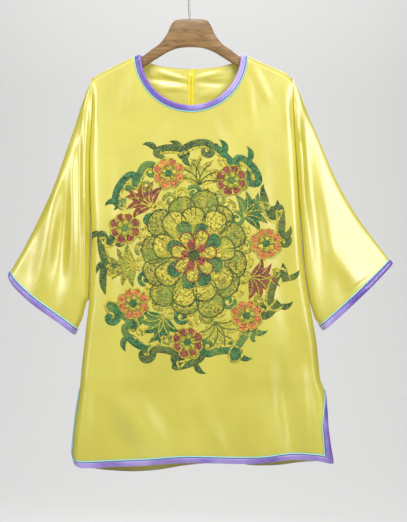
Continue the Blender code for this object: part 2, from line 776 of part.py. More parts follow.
def hanger_wood():
    """The arms and crown: rounded sections from end to end, and a socket for the hook."""
    half = [0, 14, 26, 33, 38, 43.5, 49, 55, 65, 75, 85, 96, 108, 116, 125, 140, 156, 167, 171, 175, ARM_END]
    stations = np.array([-v for v in reversed(half[1:])] + half, float)
    top, bottom = arm_edges(stations)
    from_end = np.clip((ARM_END - np.abs(stations)) / ARM_END_ROUND, 0, 1)
    taper = np.sqrt(1 - (1 - from_end) ** 2) * 0.75 + 0.25
    middle, half_high = (top + bottom) / 2, (top - bottom) / 2 * taper
    half_thick = ARM_THICK / 2 * taper
    corner = np.minimum(ARM_CORNER, 0.9 * np.minimum(half_high, half_thick))
    turns = np.radians([0, 45, 90])
    mesh = bmesh.new()
    rings = []
    for i, across in enumerate(stations):
        ring = []
        for quarter in range(4):
            start = np.radians(90 * quarter)
            sign_y = 1 if quarter in (0, 3) else -1
            sign_z = 1 if quarter in (0, 1) else -1
            for turn in turns:
                y = sign_y * (half_thick[i] - corner[i]) + corner[i] * np.cos(start + turn)
                z = sign_z * (half_high[i] - corner[i]) + corner[i] * np.sin(start + turn)
                ring.append(mesh.verts.new(place_in_frame([(across, y, -(middle[i] + z))])[0]))
        rings.append(ring)
    for first, second in zip(rings, rings[1:]):
        for k in range(len(first)):
            after = (k + 1) % len(first)
            mesh.faces.new((first[k], first[after], second[after], second[k]))
    mesh.faces.new(rings[0][::-1])
    mesh.faces.new(rings[-1])
    bmesh.ops.recalc_face_normals(mesh, faces=mesh.faces)
    data = bpy.data.meshes.new("hanger")
    mesh.to_mesh(data)
    wood = add_object("hanger", data, "hanger_wood", WOOD)

    socket = bmesh.new()
    bmesh.ops.create_cone(
        socket, cap_ends=True, segments=12, radius1=(WIRE / 2 + 0.4) * MM,
        radius2=(WIRE / 2 + 0.4) * MM, depth=2 * SOCKET_DEPTH * MM,
    )  # fmt: skip
    bmesh.ops.translate(socket, verts=socket.verts, vec=place_in_frame([(STEM_ACROSS, 0, -CROWN_TOP)])[0])
    data = bpy.data.meshes.new("hook_socket_cutter")
    socket.to_mesh(data)
    cutter = bpy.data.objects.new("hook_socket_cutter", data)
    bpy.context.scene.collection.objects.link(cutter)
    cutter.hide_render = True
    cutter.display_type = "WIRE"
    cut = wood.modifiers.new("Hook socket", "BOOLEAN")
    cut.operation = "DIFFERENCE"
    cut.solver = "EXACT"
    cut.object = cutter


def hook_line():
    """The wire's middle: a straight stem, a bend to one side and most of a circle over the rail."""
    centre = HOOK_TO_NECK + WIRE / 2 - HOOK_RADIUS
    stem_foot = CROWN_TOP - SOCKET_DEPTH + 1
    stem = [(STEM_ACROSS, stem_foot), (STEM_ACROSS, CROWN_TOP), (STEM_ACROSS - 1.0, 106)]
    bend = [(-2.6, 111), (0.6, 116.5), (5.5, 120.5)]
    turns = np.radians(np.arange(-58, 200, 14))
    ring = [(HOOK_RADIUS * np.cos(t), centre + HOOK_RADIUS * np.sin(t)) for t in turns]
    return [(x, 0.0, -up) for x, up in stem + bend + ring]


def hook():
    curve = bpy.data.curves.new("hook", "CURVE")
    curve.dimensions = "3D"
    curve.bevel_depth = WIRE / 2 * MM
    curve.bevel_resolution = 2
    curve.use_fill_caps = True
    points = place_in_frame(hook_line())
    spline = curve.splines.new("POLY")
    spline.points.add(len(points) - 1)
    for point, place in zip(spline.points, points):
        point.co = (*place, 1)
    curve.materials.append(material("steel", STEEL))
    made = bpy.data.objects.new("hook", curve)
    bpy.context.scene.collection.objects.link(made)


def zip_slider(seat):
    """An outer and an inner plate joined by a neck through the slot, with a bail for the pull.

    seat is how far the back's outer face stands from the middle plane beside the slider.
    """
    plate, neck, half = 1.4, 0.45, 3.5
    outer = seat + SEAM_GAP + 0.2
    inner = seat - WALL - SEAM_GAP - 0.2
    bail_top, bail_bottom = SLIDER_TOP + 1.5, SLIDER_BOTTOM - 2.5
    rise, bar = 3.4, 1.1
    outline = (
        ((-half, outer, SLIDER_TOP), (half, outer + plate, SLIDER_BOTTOM)),
        ((-neck, inner - 0.1, SLIDER_TOP + 1), (neck, outer + 0.1, SLIDER_BOTTOM - 1)),
        ((-half, inner - plate, SLIDER_TOP), (half, inner, SLIDER_BOTTOM)),
        ((-0.8, outer + plate - 0.1, bail_top), (0.8, outer + plate + rise, bail_top + bar)),
        ((-0.8, outer + plate - 0.1, bail_bottom - bar), (0.8, outer + plate + rise, bail_bottom)),
        ((-0.8, outer + plate + rise - bar, bail_top), (0.8, outer + plate + rise, bail_bottom)),
    )
    parts = []
    for low, high in outline:
        lowest, highest = place_in_frame([low])[0], place_in_frame([high])[0]
        parts.append((np.minimum(lowest, highest), np.maximum(lowest, highest)))
    pin = (outer + plate + (rise - bar) / 2, (bail_top + bail_bottom) / 2)
    return parts, pin


def union(name, parts, finish_name, finish):
    """One solid from overlapping boxes: the first takes in the others."""
    body = None
    for index, part in enumerate(parts):
        mesh = box_mesh([part])
        data = bpy.data.meshes.new(name if index == 0 else f"{name}_piece_{index}")
        mesh.to_mesh(data)
        if index == 0:
            body = add_object(name, data, finish_name, finish, smooth=False)
            continue
        piece = bpy.data.objects.new(data.name, data)
        bpy.context.scene.collection.objects.link(piece)
        piece.hide_render = True
        piece.display_type = "WIRE"
        join = body.modifiers.new(f"Join {index}", "BOOLEAN")
        join.operation = "UNION"
        join.solver = "EXACT"
        join.object = piece
    return body


def pull_tab(pin):
    """A flat tab with a window at its top; the bar above the window turns in the slider's bail."""
    away, drop = pin
    bar, half, window, length, thick = 0.55, 2.6, 1.3, 24.0, 1.1
    top, sill = -bar, 4.2
    outline = [(-half, top), (half, top), (half, 6.5), (3.4, 13), (3.0, length - 2), (1.4, length),
               (-1.4, length), (-3.0, length - 2), (-3.4, 13), (-half, 6.5)]  # fmt: skip
    hole = [(-window, bar), (window, bar), (window, sill), (-window, sill)]
    mesh = bmesh.new()
    layers = []
    for y in (-thick / 2, thick / 2):
        layers.append(
            [[mesh.verts.new((x * MM, y * MM, -d * MM)) for x, d in loop] for loop in (outline, hole)]
        )
    for layer in layers:
        edges = [
            mesh.edges.new((loop[k], loop[(k + 1) % len(loop)]))
            for loop in layer
            for k in range(len(loop))
        ]
        bmesh.ops.triangle_fill(mesh, use_beauty=True, edges=edges)
    for loop in (0, 1):
        near, far = layers[0][loop], layers[1][loop]
        for k in range(len(near)):
            after = (k + 1) % len(near)
            mesh.faces.new((near[k], near[after], far[after], far[k]))
    bmesh.ops.recalc_face_normals(mesh, faces=mesh.faces)
    data = bpy.data.meshes.new("zip_pull")
    mesh.to_mesh(data)
    made = add_object("zip_pull", data, "steel", STEEL, smooth=False)
    made.location = place_in_frame([(0, away, drop)])[0]
    return made


def clear_scene():
    for thing in list(bpy.data.objects):
        bpy.data.objects.remove(thing)


def build():
    clear_scene()
    front, back = whole_panel(True), whole_panel(False)
    satin = ("satin", SATIN)
    columns, neck_columns = (range(front[key].shape[1] - 1) for key in ("body", "neck"))
    cloth("front", panel(front, columns, neck_columns, True), -WALL, 0, *satin)
    for sleeve in SLEEVES:
        cloth(f"back_{sleeve.name}", half_back(back, sleeve.side), -WALL, 0, *satin)

    trims = (("band", 0, BAND_THICK, "lilac", LILAC), ("piping", 1, PIPING_THICK, "teal", TEAL))
    for trim, step, thick, slot, finish in trims:
        reach = (SEAM_GAP, SEAM_GAP + thick)
        cloth(f"neck_{trim}", neck_trim(front["neck"], back["neck"], step), *reach, slot, finish)
        for side, grids in (("front", front), ("back", back)):
            sheet = hem_trim(grids["body"], side == "front", step)
            cloth(f"hem_{trim}_{side}", sheet, *reach, slot, finish)
        for sleeve in SLEEVES:
            sheet = cuff_trim(front[sleeve.side], back[sleeve.side], sleeve.side, step)
            cloth(f"cuff_{trim}_{sleeve.name}", sheet, *reach, slot, finish)

    under_back = -WALL - SEAM_GAP
    coil = (under_back - 1.2, under_back, "zip_yellow", ZIP_YELLOW)
    cloth("zip_coil", zip_strip(back["body"]), *coil)
    middle = back["body"].shape[1] // 2
    seat = np.interp(SLIDER_TOP + 5, back["body"][:6, middle, 2], back["body"][:6, middle, 1])
    parts, pin = zip_slider(seat)
    union("zip_slider", parts, "steel", STEEL)
    pull_tab(pin)
    hanger_wood()
    hook()


build()
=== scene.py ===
"""A yellow satin top with an embroidered medallion, hanging on a wooden hanger.

Shapes are worked out in millimetres: across (the wearer's left is positive), away from the middle
plane (the front is negative) and drop below the side of the neck. lay_in_frame turns them into the
frame's metres. The frame's origin is the point inside the hook that rests on a rail.
"""

import json
import math

import bpy
import numpy as np
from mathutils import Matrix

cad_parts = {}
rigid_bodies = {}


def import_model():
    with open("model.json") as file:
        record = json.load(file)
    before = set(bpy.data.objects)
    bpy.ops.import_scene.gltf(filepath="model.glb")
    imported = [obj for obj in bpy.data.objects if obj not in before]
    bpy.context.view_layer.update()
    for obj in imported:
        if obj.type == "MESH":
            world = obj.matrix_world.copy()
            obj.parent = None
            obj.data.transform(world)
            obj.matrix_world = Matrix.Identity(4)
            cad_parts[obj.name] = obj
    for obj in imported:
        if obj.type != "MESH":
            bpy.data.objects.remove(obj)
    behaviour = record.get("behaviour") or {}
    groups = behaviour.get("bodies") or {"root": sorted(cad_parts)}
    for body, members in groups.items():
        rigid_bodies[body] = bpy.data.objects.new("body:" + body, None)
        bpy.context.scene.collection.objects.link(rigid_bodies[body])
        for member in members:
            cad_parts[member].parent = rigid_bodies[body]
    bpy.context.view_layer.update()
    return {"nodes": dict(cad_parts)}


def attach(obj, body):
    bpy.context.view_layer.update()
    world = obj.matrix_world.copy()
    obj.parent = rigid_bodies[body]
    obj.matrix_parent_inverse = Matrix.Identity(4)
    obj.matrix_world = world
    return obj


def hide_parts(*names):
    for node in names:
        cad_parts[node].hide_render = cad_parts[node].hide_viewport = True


for thing in list(bpy.data.objects):
    bpy.data.objects.remove(thing)
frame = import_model()

# The studio. A camera square on to the front, soft lights on both sides of it, one above, one
# behind and one over the floor, and a pale floor that curves up to a wall far behind.
MM = 0.001
VIEW_CENTRE = (23.75 * MM, -551 * MM)  # across and height of the middle of the view
VIEW_HEIGHT = 992 * MM
VIEW_DISTANCE = 2200 * MM
SENSOR = 36.0
FLOOR_BELOW_RAIL = 1.75

view = bpy.data.cameras.new("camera")
view.sensor_fit = "VERTICAL"
view.sensor_height = SENSOR
view.lens = SENSOR * VIEW_DISTANCE / VIEW_HEIGHT
camera = bpy.data.objects.new("camera", view)
camera.location = (VIEW_CENTRE[0], -VIEW_DISTANCE, VIEW_CENTRE[1])
camera.rotation_euler = (math.radians(90), 0, 0)
bpy.context.scene.collection.objects.link(camera)
bpy.context.scene.camera = camera

GARMENT_MIDDLE = (0.0, 0.0, VIEW_CENTRE[1])
for name, place, size, watts, target in (
    ("key", (1.25, -1.8, 0.15), 0.7, 27, GARMENT_MIDDLE),
    ("left", (-1.35, -1.75, 0.15), 0.7, 20, GARMENT_MIDDLE),
    ("top", (0.0, -1.1, 1.2), 0.7, 22, GARMENT_MIDDLE),
    ("behind", (0.6, 2.4, 0.4), 1.6, 26, GARMENT_MIDDLE),
    ("floor", (0.0, 3.2, 2.6), 5.0, 180, (0.0, 4.4, -1.2)),
):
    light = bpy.data.lights.new(name, "AREA")
    light.size = size
    light.energy = watts
    lamp = bpy.data.objects.new(name, light)
    lamp.location = place
    aim = np.array(target) - np.array(place)
    flat_reach = math.hypot(aim[0], aim[1])
    lamp.rotation_euler = (math.atan2(flat_reach, -aim[2]), 0, math.atan2(aim[1], aim[0]) - math.pi / 2)
    bpy.context.scene.collection.objects.link(lamp)

world = bpy.data.worlds.new("studio")
world.use_nodes = True
world.node_tree.nodes["Background"].inputs["Color"].default_value = (0.80, 0.81, 0.83, 1)
world.node_tree.nodes["Background"].inputs["Strength"].default_value = 0.16
bpy.context.scene.world = world
bpy.context.scene.view_settings.view_transform = "Standard"


def new_finish(name, **sockets):
    """A material whose shader has these sockets set, each named with _ for a space."""
    made = bpy.data.materials.new(name)
    made.use_nodes = True
    shader = made.node_tree.nodes["Principled BSDF"]
    for socket, value in sockets.items():
        shader.inputs[socket.replace("_", " ")].default_value = value
    return made


def add_node(finish, kind, inputs=None, **settings):
    """A node in a material. Each of its inputs gets a value, or the output that feeds it."""
    made = finish.node_tree.nodes.new(kind)
    for name, value in settings.items():
        setattr(made, name, value)
    for name, value in (inputs or {}).items():
        if isinstance(value, bpy.types.NodeSocket):
            finish.node_tree.links.new(value, made.inputs[name])
        else:
            made.inputs[name].default_value = value
    return made


def feed_shader(finish, **sockets):
    """Links outputs to the shader's sockets, each named with _ for a space."""
    shader = finish.node_tree.nodes["Principled BSDF"]
    for socket, output in sockets.items():
        finish.node_tree.links.new(output, shader.inputs[socket.replace("_", " ")])


def add_noise(finish, place, scale, detail, **sockets):
    """A noise's value at a place, with about as many spots to a unit of the place as the scale."""
    inputs = {"Vector": place, "Scale": scale, "Detail": detail, **sockets}
    return add_node(finish, "ShaderNodeTexNoise", inputs).outputs["Fac"]


def add_ramp(finish, value, start, end, low, high):
    """The colour that goes from low to high while the value goes from start to end."""
    ramp = add_node(finish, "ShaderNodeValToRGB", {"Fac": value})
    for element, position, colour in zip(ramp.color_ramp.elements, (start, end), (low, high)):
        element.position = position
        element.color = (*colour, 1)
    return ramp.outputs["Color"]


def add_bump(finish, height, strength, distance, under=None, **settings):
    """The normal of a relief that is the distance high, laid over the normal under it, if any."""
    inputs = {"Height": height, "Strength": strength, "Distance": distance}
    if under:
        inputs["Normal"] = under
    return add_node(finish, "ShaderNodeBump", inputs, **settings).outputs["Normal"]


FLOOR_HALF, FLOOR_BACK, FLOOR_CURVE, WALL_TOP = 12.0, 4.0, 2.5, 6.0
floor_paint = new_finish("floor_paint", Base_Color=(0.78, 0.78, 0.77, 1), Roughness=0.8)
turns = np.linspace(0, np.pi / 2, 25)
sweep = np.stack([FLOOR_BACK + FLOOR_CURVE * np.sin(turns), FLOOR_CURVE * (1 - np.cos(turns))], axis=-1)
sweep = np.vstack([(-FLOOR_HALF, 0), sweep, (sweep[-1, 0], WALL_TOP)])
ground = [(x, y, z - FLOOR_BELOW_RAIL) for y, z in sweep for x in (-FLOOR_HALF, FLOOR_HALF)]
strips = [(k, k + 1, k + 3, k + 2) for k in range(0, len(ground) - 2, 2)]
floor_mesh = bpy.data.meshes.new("floor")
floor_mesh.from_pydata(ground, [], strips)
floor_mesh.materials.append(floor_paint)
floor_mesh.shade_smooth()
floor = bpy.data.objects.new("floor", floor_mesh)
bpy.context.scene.collection.objects.link(floor)

# The satin panels. The front is cut in one with its sleeves, and the back in two halves with
# theirs, which a zip and a seam join. They hang from the shoulders in a few long soft folds.
HOOK_TO_NECK = 160.0
SATIN_THICK = 1.1
SEAM_GAP = 0.12  # between the two cloths of a fold or a seam
BAND_WIDTH = 10.0
PIPING_WIDTH = 2.8
NECK_RADIUS = 95.0
FRONT_NECK_DEPTH = 96.5
BACK_NECK_DEPTH = 24.0
SHOULDER_ROLL = 12.0
EDGE_ROLL = 16.0
SLEEVE_ROLL = 14.0
FIRST_FLAT = 16.0  # from the neck's piping to the first column beside it
WALL = 1.2
SLIT_TOP = 633.0
UNDERARM = 285.0
CHEST = 153.0
CHEST_HALF = 140.0
CENTRE_DRIFT = 12.0
HEM_MIDDLE = 780.0
LAST_LEVEL = 740.0
ZIP_TOP = 52.0
ZIP_SLOT = 1.5


def table(names, *rows):
    """Rows of numbers as one array for each named column."""
    return dict(zip(names.split(), np.array(rows, float).T))


RIDGE = table(
    "across drop",
    (-190, 48), (-182, 40), (-171, 33.2), (-140, 18), (-109.5, 2.9), (-95, 0),
    (95, 0), (109.5, 2.9), (143.3, 18), (178.4, 33.2), (186, 39.6), (190, 44.5),
)  # fmt: skip
BODY = table(
    "drop left right_front right_back front back",
    (42, -187, 190, 190, 10.5, 10.5),
    (60, -186, 193, 193, 11, 11),
    (90, -186.5, 194, 194, 11.5, 12),
    (120, -188, 195.5, 195.5, 12, 13),
    (153, -190, 197, 197, 13, 14),
    (190, -192, 199.5, 199.5, 14, 15),
    (262, -192, 204, 204, 16, 17),
    (334, -189.5, 209, 209, 18, 19),
    (408, -191, 215, 215, 19, 21),
    (470, -194, 225, 225, 20, 22),
    (513, -199, 233, 233, 21, 23),
    (541, -202, 238, 238, 21, 24),
    (594, -208, 243.5, 243.5, 22, 25),
    (617, -210, 246.5, 246.5, 23, 26),
    (633, -211.5, 253, 253, 23, 26.5),
    (668, -217, 257, 257.5, 24, 27),
    (703, -221.5, 258.3, 260.5, 25, 28),
    (740, -225, 261.5, 265.5, 26, 29.5),
    (757, -226, 262.5, 268, 26, 30),
    (770, -223.5, 263.5, 270, 26, 30.5),
    (800, -211, 264.5, 272, 26, 31),
)
# How far each side edge stands off the middle plane, as a share of its row's depth.
LIFT = table(
    "drop front_left front_right back_left back_right",
    (42, 1.0, 1.0, 1.0, 1.0),
    (60, 0.92, 0.90, 0.92, 0.92),
    (80, 0.70, 0.66, 0.72, 0.72),
    (110, 0.45, 0.40, 0.48, 0.48),
    (153, 0.27, 0.24, 0.30, 0.30),
    (200, 0.13, 0.12, 0.16, 0.16),
    (285, 0.0, 0.0, 0.0, 0.0),
    (633, 0.0, 0.0, 0.0, 0.0),
    (649, 0.02, 0.30, 0.03, 0.05),
    (668, 0.04, 0.58, 0.08, 0.10),
    (703, 0.08, 0.86, 0.14, 0.16),
    (740, 0.12, 0.92, 0.18, 0.22),
    (800, 0.14, 0.95, 0.20, 0.26),
)
HEM = table(
    "across front back",
    (-228, 765, 768),
    (-221, 774, 777),
    (-210, 778.5, 783),
    (-190, 779.5, 789),
    (-147, 777.5, 794.5),
    (-105, 776, 795.5),
    (-62, 773, 792),
    (-11, 770, 784),
    (50, 771, 779),
    (90, 772, 780),
    (118, 771.5, 784),
    (144, 769.5, 784.5),
    (172, 766, 783),
    (207, 764, 778),
    (236, 766, 776),
    (256, 770, 776),
    (270, 774, 777),
)
# The large folds: where each starts and ends, its half width and its height.
FOLDS = {
    True: table(
        "across drop across_end drop_end half_width height",
        (-80, 60, -105, 330, 34, -2.0),
        (95, 110, 130, 420, 38, -2.5),
        (110, 10, 150, 95, 9, 1.6),
        (20, 330, -10, 600, 46, 2.0),
        (-120, 640, -44, 760, 24, 5.0),
        (-170, 650, -95, 775, 26, -3.5),
        (168, 572, 194, 778, 14, -6.5),
        (204, 572, 229, 778, 13, 6.5),
        (222, 500, 251, 735, 18, 2.5),
        (-196, 540, -207, 765, 15, 3.0),
        (58, 600, 84, 790, 38, -4.5),
        (128, 640, 146, 790, 30, 3.5),
        (-201, 90, -201, 500, 6.5, 4.5),
        (-211, 150, -214, 350, 8, -4.0),
        (-224, 190, -222, 450, 11, 4.0),
        (-238, 225, -252, 460, 13, -6.0),
        (-236, 165, -292, 440, 15, 6.0),
        (207, 80, 214, 330, 7, 4.0),
        (216, 105, 256, 470, 14, -8.0),
        (244, 160, 322, 400, 34, 7.0),
    ),
    False: table(
        "across drop across_end drop_end half_width height",
        (-100, 60, -118, 360, 36, -3.0),
        (88, 70, 112, 400, 34, -3.0),
        (-30, 260, -48, 640, 30, 3.0),
        (60, 420, 78, 770, 34, 5.0),
        (-142, 560, -150, 795, 30, 8.0),
        (-60, 620, -72, 795, 26, -6.0),
        (140, 600, 160, 790, 26, 6.0),
        (205, 560, 228, 785, 20, -5.0),
        (-204, 100, -202, 480, 8, 4.0),
        (-220, 170, -232, 450, 12, -6.0),
        (-238, 170, -285, 430, 18, 6.0),
        (208, 100, 224, 400, 8, 4.0),
        (222, 130, 262, 450, 14, -7.0),
        (246, 170, 318, 400, 26, 6.0),
    ),
}
# The smaller creases that lie on them.
CREASES = {
    True: table(
        "across drop across_end drop_end half_width height",
        (-168, 120, -150, 640, 20, 2.6),
        (-128, 150, -108, 640, 20, -2.2),
        (-74, 250, -84, 770, 30, 2.0),
        (158, 150, 186, 640, 20, -2.6),
        (118, 140, 118, 560, 26, 2.2),
        (52, 420, 20, 740, 36, -2.2),
        (262, 165, 338, 410, 24, 3.0),
        (270, 380, 290, 480, 16, -3.0),
        (-232, 190, -286, 445, 16, 3.0),
        (-234, 225, -256, 450, 18, -6.5),
        (-221, 200, -226, 445, 10, 2.2),
        (-205, 120, -204, 450, 8, 1.6),
        (-187, 56, -192, 190, 5, -2.2),
        (-176, 60, -180, 150, 6, 1.2),
        (193, 60, 196, 160, 6, -2.4),
        (204, 130, 208, 290, 8, 1.6),
        (-160, 640, -66, 768, 20, 5.0),
        (-196, 640, -190, 775, 9, 1.6),
        (178, 64, 182, 150, 6, 1.2),
        (-104, 14, -112, 120, 10, 0.9),
        (104, 20, 118, 150, 9, 0.9),
        (-132, 30, -150, 120, 12, -0.9),
        (-40, 112, -70, 160, 12, -0.7),
        (52, 108, 78, 170, 12, -0.8),
        (-12, 620, 26, 760, 16, -1.2),
        (-150, 560, -128, 700, 14, 1.2),
        (168, 420, 196, 560, 16, -1.4),
        (40, 690, 70, 775, 12, 1.3),
        (-34, 700, -48, 775, 11, -1.3),
        (4, 716, 2, 774, 9, 1.0),
        (104, 700, 112, 775, 11, -1.2),
        (-186, 690, -192, 776, 10, -1.4),
        (292, 455, 360, 405, 5, -1.6),
        (300, 462, 344, 432, 4, 1.4),
        (330, 330, 352, 392, 14, -1.4),
        (-268, 300, -290, 430, 12, 1.6),
        (-246, 420, -232, 505, 12, 2.0),
        (-300, 380, -312, 430, 12, -1.4),
    ),
    False: table(
        "across drop across_end drop_end half_width height",
        (-72, 26, -2, 50, 5, -2.6),
        (-92, 42, -4, 50, 6, 2.8),
        (-64, 60, -8, 62, 6, -2.4),
        (62, 30, 4, 44, 5, -2.0),
        (70, 52, 6, 50, 6, 2.4),
        (60, 66, 12, 78, 8, -1.8),
        (-60, 92, -14, 118, 12, 2.0),
        (54, 100, 16, 130, 12, 2.0),
        (-6, 280, -24, 420, 14, -1.6),
        (16, 300, 30, 460, 14, 1.4),
        (-120, 380, -128, 600, 20, -2.0),
        (130, 330, 150, 600, 20, 2.0),
        (-190, 60, -194, 200, 6, -2.0),
        (192, 64, 196, 190, 6, -2.0),
        (-20, 640, -14, 780, 14, 1.8),
        (100, 650, 108, 780, 14, -1.8),
        (-266, 300, -286, 440, 12, 1.6),
        (270, 300, 306, 430, 14, -1.6),
    ),
}


def through(at, knots, values):
    """A smooth curve through points: cubics whose slopes are the points' own gradient."""
    slopes = np.gradient(values, knots)
    at = np.clip(np.asarray(at, float), knots[0], knots[-1])
    piece = np.clip(np.searchsorted(knots, at, side="right") - 1, 0, len(knots) - 2)
    width = knots[piece + 1] - knots[piece]
    t = (at - knots[piece]) / width
    return (
        values[piece] * (1 + 2 * t) * (1 - t) ** 2
        + slopes[piece] * width * t * (1 - t) ** 2
        + values[piece + 1] * t * t * (3 - 2 * t)
        + slopes[piece + 1] * width * t * t * (t - 1)
    )


def length_along(line):
    """How far each point of a flat line lies from its start, along the line."""
    return np.concatenate([[0], np.cumsum(np.hypot(*np.diff(line, axis=0).T))])


def finer(steps, times):
    """The same steps with each stretch between two of them cut into equal parts."""
    at = np.arange((len(steps) - 1) * times + 1) / times
    return np.interp(at, np.arange(len(steps)), steps)


FOLD_REACH = 1.6  # how many half widths lie between a fold's line and its foot
FOLD_RUN = 0.82  # the share of its whole run that lies between its two ends


def relief(folds, across, drop):
    """The sum of the folds: each is a cosine bump across its line, eased in and out at its ends.

    The ease is half a sine wave along the line, to the power of 1.5.
    """
    total = np.zeros_like(across)
    for x, z, x_end, z_end, half_width, height in zip(*folds.values()):
        run = np.array([x_end - x, z_end - z])
        length = np.hypot(*run)
        along = ((across - x) * run[0] + (drop - z) * run[1]) / length**2
        aside = ((across - x) * run[1] - (drop - z) * run[0]) / length
        bump = 0.5 + 0.5 * np.cos(np.pi * np.clip(aside / (FOLD_REACH * half_width), -1, 1))
        total += height * bump * np.sin(np.pi * np.clip(0.5 + (along - 0.5) * FOLD_RUN, 0, 1)) ** 1.5
    return total


def all_relief(across, drop, front):
    """The large folds and the creases together."""
    return relief(FOLDS[front], across, drop) + relief(CREASES[front], across, drop)


def ridge_drop(across):
    """How far down the shoulders' ridge lies, in straight stretches between its points."""
    return np.interp(across, RIDGE["across"], RIDGE["drop"])


def face_away(across, drop, share, front):
    """The outer face's distance from the middle plane, signed.

    It is the row's depth, times a quarter circle below the shoulder's ridge and the share of the
    depth that the row has reached from its side, plus the folds.
    """
    gap = SEAM_GAP / 2 + np.where(drop <= UNDERARM, WALL * (1 - share), 0)
    depth = through(drop, BODY["drop"], BODY["front" if front else "back"])
    fallen = np.clip((drop - ridge_drop(across)) / SHOULDER_ROLL, 0, 1)
    roll = np.sqrt(1 - (1 - fallen) ** 2)
    folds = all_relief(across, drop, front) * roll * share**2
    away = np.maximum(gap + roll * share * (depth - gap) + folds, gap)
    return -away if front else away


def body_sides(drop, name):
    """Where the body's left and right edges lie at each drop, and how far each is lifted there."""
    left, right = (through(drop, BODY["drop"], BODY[key]) for key in ("left", f"right_{name}"))
    lifts = [np.interp(drop, LIFT["drop"], LIFT[f"{name}_{side}"]) for side in ("left", "right")]
    return left, right, lifts


def rolled_edge(steps, depth):
    """How far in, and at what share of the depth, a quarter ellipse is at each length along it."""
    turn = np.linspace(0, np.pi / 2, 61)
    ways, shares = [], []
    for row_depth in depth:
        way, rise = EDGE_ROLL * (1 - np.cos(turn)), row_depth * np.sin(turn)
        length = length_along(np.stack([way, rise], axis=-1))
        ways.append(np.interp(steps, length, way) + np.maximum(steps - length[-1], 0))
        shares.append(np.sin(np.interp(steps, length, turn)))
    return np.array(ways), np.array(shares)


COLUMN_PARTS, ROW_PARTS = 4, 7
EDGE_STEPS = finer((0, BAND_WIDTH, BAND_WIDTH + PIPING_WIDTH, 21, 32), COLUMN_PARTS)
YOKE_SHARES = finer((0, 0.02, 0.06, 0.13, 0.25, 0.42, 0.62, 0.82, 1), ROW_PARTS)
LEVELS = (186, 219, 252, 285, 331, 377, 423, 470, 512, 554, 594, 633, 649, 668, 703, 740)
HEM_ROWS = tuple(HEM_MIDDLE - up for up in (BAND_WIDTH + PIPING_WIDTH, BAND_WIDTH, 0))
NECK_TURNS = (0, 2, 4.5, 9, 16, 27, 39, 52, 65, 78, 90)
LEVEL_DROPS = finer((CHEST, *LEVELS, *HEM_ROWS), ROW_PARTS)
YOKE_DROPS = RIDGE["drop"][-1] + YOKE_SHARES * (CHEST - RIDGE["drop"][-1])
SIDE_DROPS = np.concatenate([YOKE_DROPS, LEVEL_DROPS[1:]])
CHEST_ROW = len(YOKE_SHARES) - 1


def neck_line(front, out):
    """Half an ellipse moved out into the cloth. Near the shoulders it follows their ridge."""
    half = finer(NECK_TURNS, COLUMN_PARTS)
    angle = np.radians(np.concatenate([half, 180 - half[-2::-1]]))
    depth = FRONT_NECK_DEPTH if front else BACK_NECK_DEPTH
    normal = np.stack([-np.cos(angle) / NECK_RADIUS, np.sin(angle) / depth])
    normal /= np.hypot(*normal)
    across = -NECK_RADIUS * np.cos(angle) + out * normal[0]
    drop = depth * np.sin(angle) + out * normal[1]
    at_ridge = np.abs(np.cos(angle)) ** 12
    drop = drop * (1 - at_ridge) + np.maximum(drop, ridge_drop(across)) * at_ridge
    return across, drop, CHEST_HALF * (2 * np.degrees(angle) / 180 - 1)


def seam_across(drop):
    """Where the centre of the hanging cloth lies: straight down to the chest, then to one side."""
    hung = np.clip((drop - CHEST) / (HEM_MIDDLE - CHEST), 0, 1)
    return CENTRE_DRIFT * hung**2 * (3 - 2 * hung)


